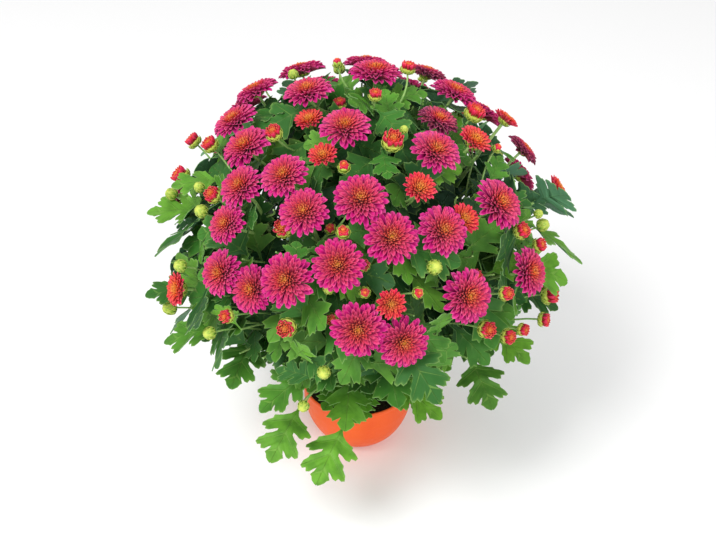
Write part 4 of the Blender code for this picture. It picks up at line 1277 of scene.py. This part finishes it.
outer = smooth_line(POT_PLACES)
lip = [(RIM_RADIUS - back, POT_HEIGHT - down) for back, down in LIP_LINE]
inner = [(out - POT_WALL, max(height, POT_WALL)) for out, height in reversed(POT_PLACES)]
bm = bmesh.new()
turn_profile(bm, [*FOOT_LINE, *outer, *lip, *inner, (0, POT_WALL)], POT_STEPS)
plastic = Finish("pot_plastic", 0.45, Specular_IOR_Level=0.3)
marbling = plastic.noise(plastic.place((1, 1, 0.4)), 26, 4)
dust = plastic.noise(plastic.place(), 240, 3)
orange = plastic.mix(plastic.scale(marbling, 0.35, 0.7), (0.84, 0.118, 0.013), (0.78, 0.088, 0.010))
pot_finish = plastic.finish(plastic.mix(plastic.scale(dust, 0.55, 0.8, 0, 0.25), orange, (0.88, 0.19, 0.05)),
                            plastic.scale(dust, 0.3, 0.7, 0.4, 0.56), dust, 0.00006)
pot = keep("pot_turned", to_mesh(bm, "pot_turned", (pot_finish,)), "pot_plastic", "pot")
for hole in range(DRAIN_HOLES):
    turn = math.tau * (hole + 0.5) / DRAIN_HOLES
    bm = bmesh.new()
    place = Matrix.Translation((DRAIN_RING * math.cos(turn), DRAIN_RING * math.sin(turn), 0))
    bmesh.ops.create_cone(bm, cap_ends=True, segments=DRAIN_STEPS, radius1=DRAIN_RADIUS, radius2=DRAIN_RADIUS,
                          depth=4 * POT_WALL, matrix=place)
    mesh = bpy.data.meshes.new("drain")
    bm.to_mesh(mesh)
    bm.free()
    cutter = bpy.data.objects.new("drain", mesh)
    bpy.context.scene.collection.objects.link(cutter)
    cut = pot.modifiers.new("drain", "BOOLEAN")
    cut.operation, cut.object = "DIFFERENCE", cutter
    drilled = bpy.data.meshes.new_from_object(pot.evaluated_get(bpy.context.evaluated_depsgraph_get()))
    pot.modifiers.clear()
    pot.data = drilled
    bpy.data.objects.remove(cutter)
pot.data.name = "pot_turned"
print("pot polygons", len(pot.data.polygons))

# %% [markdown]
# ## The soil
#
# Potting soil is loose, dark brown and full of crumbs. The body is turned like the pot, its top is raised and
# lowered by noise, and small crumbs lie on it, each a rough ball of twenty faces.

# %% The soil and its crumbs
SOIL_STEPS, SOIL_RINGS = 64, 12
SOIL_LUMP, LUMP_SCALE, SMALL_LUMP, SMALL_SCALE = 0.0016, 90, 0.6, 300
SOIL_EDGE = RIM_RADIUS - POT_WALL - 0.0006
CRUMBS, CRUMB_SIZES, CRUMB_LIFT, CRUMB_SEED = 260, (0.0006, 0.0021), 0.0004, 3
floor_height = POT_WALL + GAP
top_line = [(SOIL_EDGE * ring / SOIL_RINGS, SOIL_TOP) for ring in range(SOIL_RINGS + 1)]
sides = [(out - POT_WALL - GAP, max(height, floor_height)) for out, height in reversed(POT_PLACES)]
bm = bmesh.new()
turn_profile(bm, top_line + sides + [(0, floor_height)], SOIL_STEPS)
for vert in bm.verts:
    if vert.co.z > SOIL_TOP - GAP:
        lump = noise.noise(vert.co * LUMP_SCALE) + SMALL_LUMP * noise.noise(vert.co * SMALL_SCALE)
        vert.co.z += SOIL_LUMP * lump
draw = random.Random(CRUMB_SEED)
for _ in range(CRUMBS):
    turn, out = draw.uniform(0, math.tau), SOIL_EDGE * 0.96 * math.sqrt(draw.random())
    spot = Vector((out * math.cos(turn), out * math.sin(turn), SOIL_TOP + CRUMB_LIFT))
    size = draw.uniform(*CRUMB_SIZES) * draw.uniform(0.5, 1)
    place = Matrix.Translation(spot) @ Matrix.Rotation(draw.uniform(0, 3), 4, "X") @ Matrix.Diagonal(
        (size, size * draw.uniform(0.6, 1), size * draw.uniform(0.5, 0.9), 1))
    bmesh.ops.create_icosphere(bm, subdivisions=1, radius=1, matrix=place)
soil = Finish("soil", 0.95, Specular_IOR_Level=0.2)
grit = soil.noise(soil.place(), 700, 4)
patch = soil.noise(soil.place(), 110, 3)
brown = soil.ramp(grit, (0.35, (0.010, 0.006, 0.004)), (0.6, (0.040, 0.023, 0.013)),
                  (0.8, (0.10, 0.065, 0.04)))
patched = soil.mix(soil.scale(patch, 0.4, 0.7, 0, 0.5), brown, (0.018, 0.010, 0.007))
soil_finish = soil.finish(patched, height=grit, relief=0.0012)
keep("soil_crumbly", to_mesh(bm, "soil_crumbly", (soil_finish,)), "soil", "soil")
print("crumbs", CRUMBS)

# %% [markdown]
# ## Floor, light and camera
#
# The photograph was taken from above the front at 37 degrees, in even light on white. So the floor is a plain
# pale sheet, a white sky fills the shadows, and one large soft lamp from the upper left models the petals. A
# weaker one from the front lights the pot and the skirt of leaves.

# %% Floor, light and camera
FLOOR_SIZE, FLOOR_WHITE, SKY_STRENGTH, LAMP_AIM = 6, 0.93, 0.75, Vector((0, 0, 0.2))
# Each lamp: its name, its place, its size and its power
LAMPS = (("key", (-0.9, -0.9, 1.9), 0.9, 32), ("front", (0.7, -1.6, 1.0), 1.2, 15))
CAMERA_TILT, CAMERA_DISTANCE, AIM = math.radians(37), 1.10, Vector((0, 0, 0.2007))
LENS, SENSOR = 59.3, 36
bm = bmesh.new()
bmesh.ops.create_grid(bm, x_segments=1, y_segments=1, size=FLOOR_SIZE)
paper = Finish("pale_floor", 0.9)
paper.shader.inputs["Base Color"].default_value = (FLOOR_WHITE, FLOOR_WHITE, FLOOR_WHITE, 1)
ground = bpy.data.objects.new("floor", to_mesh(bm, "floor", (paper.material,)))
bpy.context.scene.collection.objects.link(ground)
ground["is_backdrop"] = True

scene = bpy.context.scene
scene.view_settings.view_transform = "Standard"
scene.world = bpy.data.worlds.new("sky")
scene.world.use_nodes = True
sky = scene.world.node_tree.nodes["Background"]
sky.inputs["Color"].default_value = (1, 1, 1, 1)
sky.inputs["Strength"].default_value = SKY_STRENGTH
for name, place, size, power in LAMPS:
    light = bpy.data.lights.new(name, "AREA")
    light.size, light.energy = size, power
    lamp = bpy.data.objects.new(name, light)
    lamp.location = place
    lamp.rotation_euler = (LAMP_AIM - Vector(place)).to_track_quat("-Z", "Y").to_euler()
    bpy.context.scene.collection.objects.link(lamp)

camera = bpy.data.objects.new("camera", bpy.data.cameras.new("camera"))
camera.data.lens, camera.data.sensor_width = LENS, SENSOR
camera.location = AIM + Vector((0, -math.cos(CAMERA_TILT), math.sin(CAMERA_TILT))) * CAMERA_DISTANCE
camera.rotation_euler = (AIM - camera.location).to_track_quat("-Z", "Y").to_euler()
bpy.context.scene.collection.objects.link(camera)
scene.camera = camera
print("camera at", [round(value, 3) for value in camera.location])

# %% [markdown]
# ## Sizes
#
# The finer pieces have to keep to the size of the solids, so both boxes are printed.

# %% Sizes
own_box = [list(corner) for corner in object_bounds()]
print("box in millimetres, solids and pieces", [[round(1000 * (high - low), 1) for low, high in zip(*box)]
                                                for box in (cad_box, own_box)])
triangles = sum(sum(len(polygon.vertices) - 2 for polygon in made.data.polygons) for made in bpy.data.objects
                if made.type == "MESH" and not made.hide_render)
print("triangles", triangles)
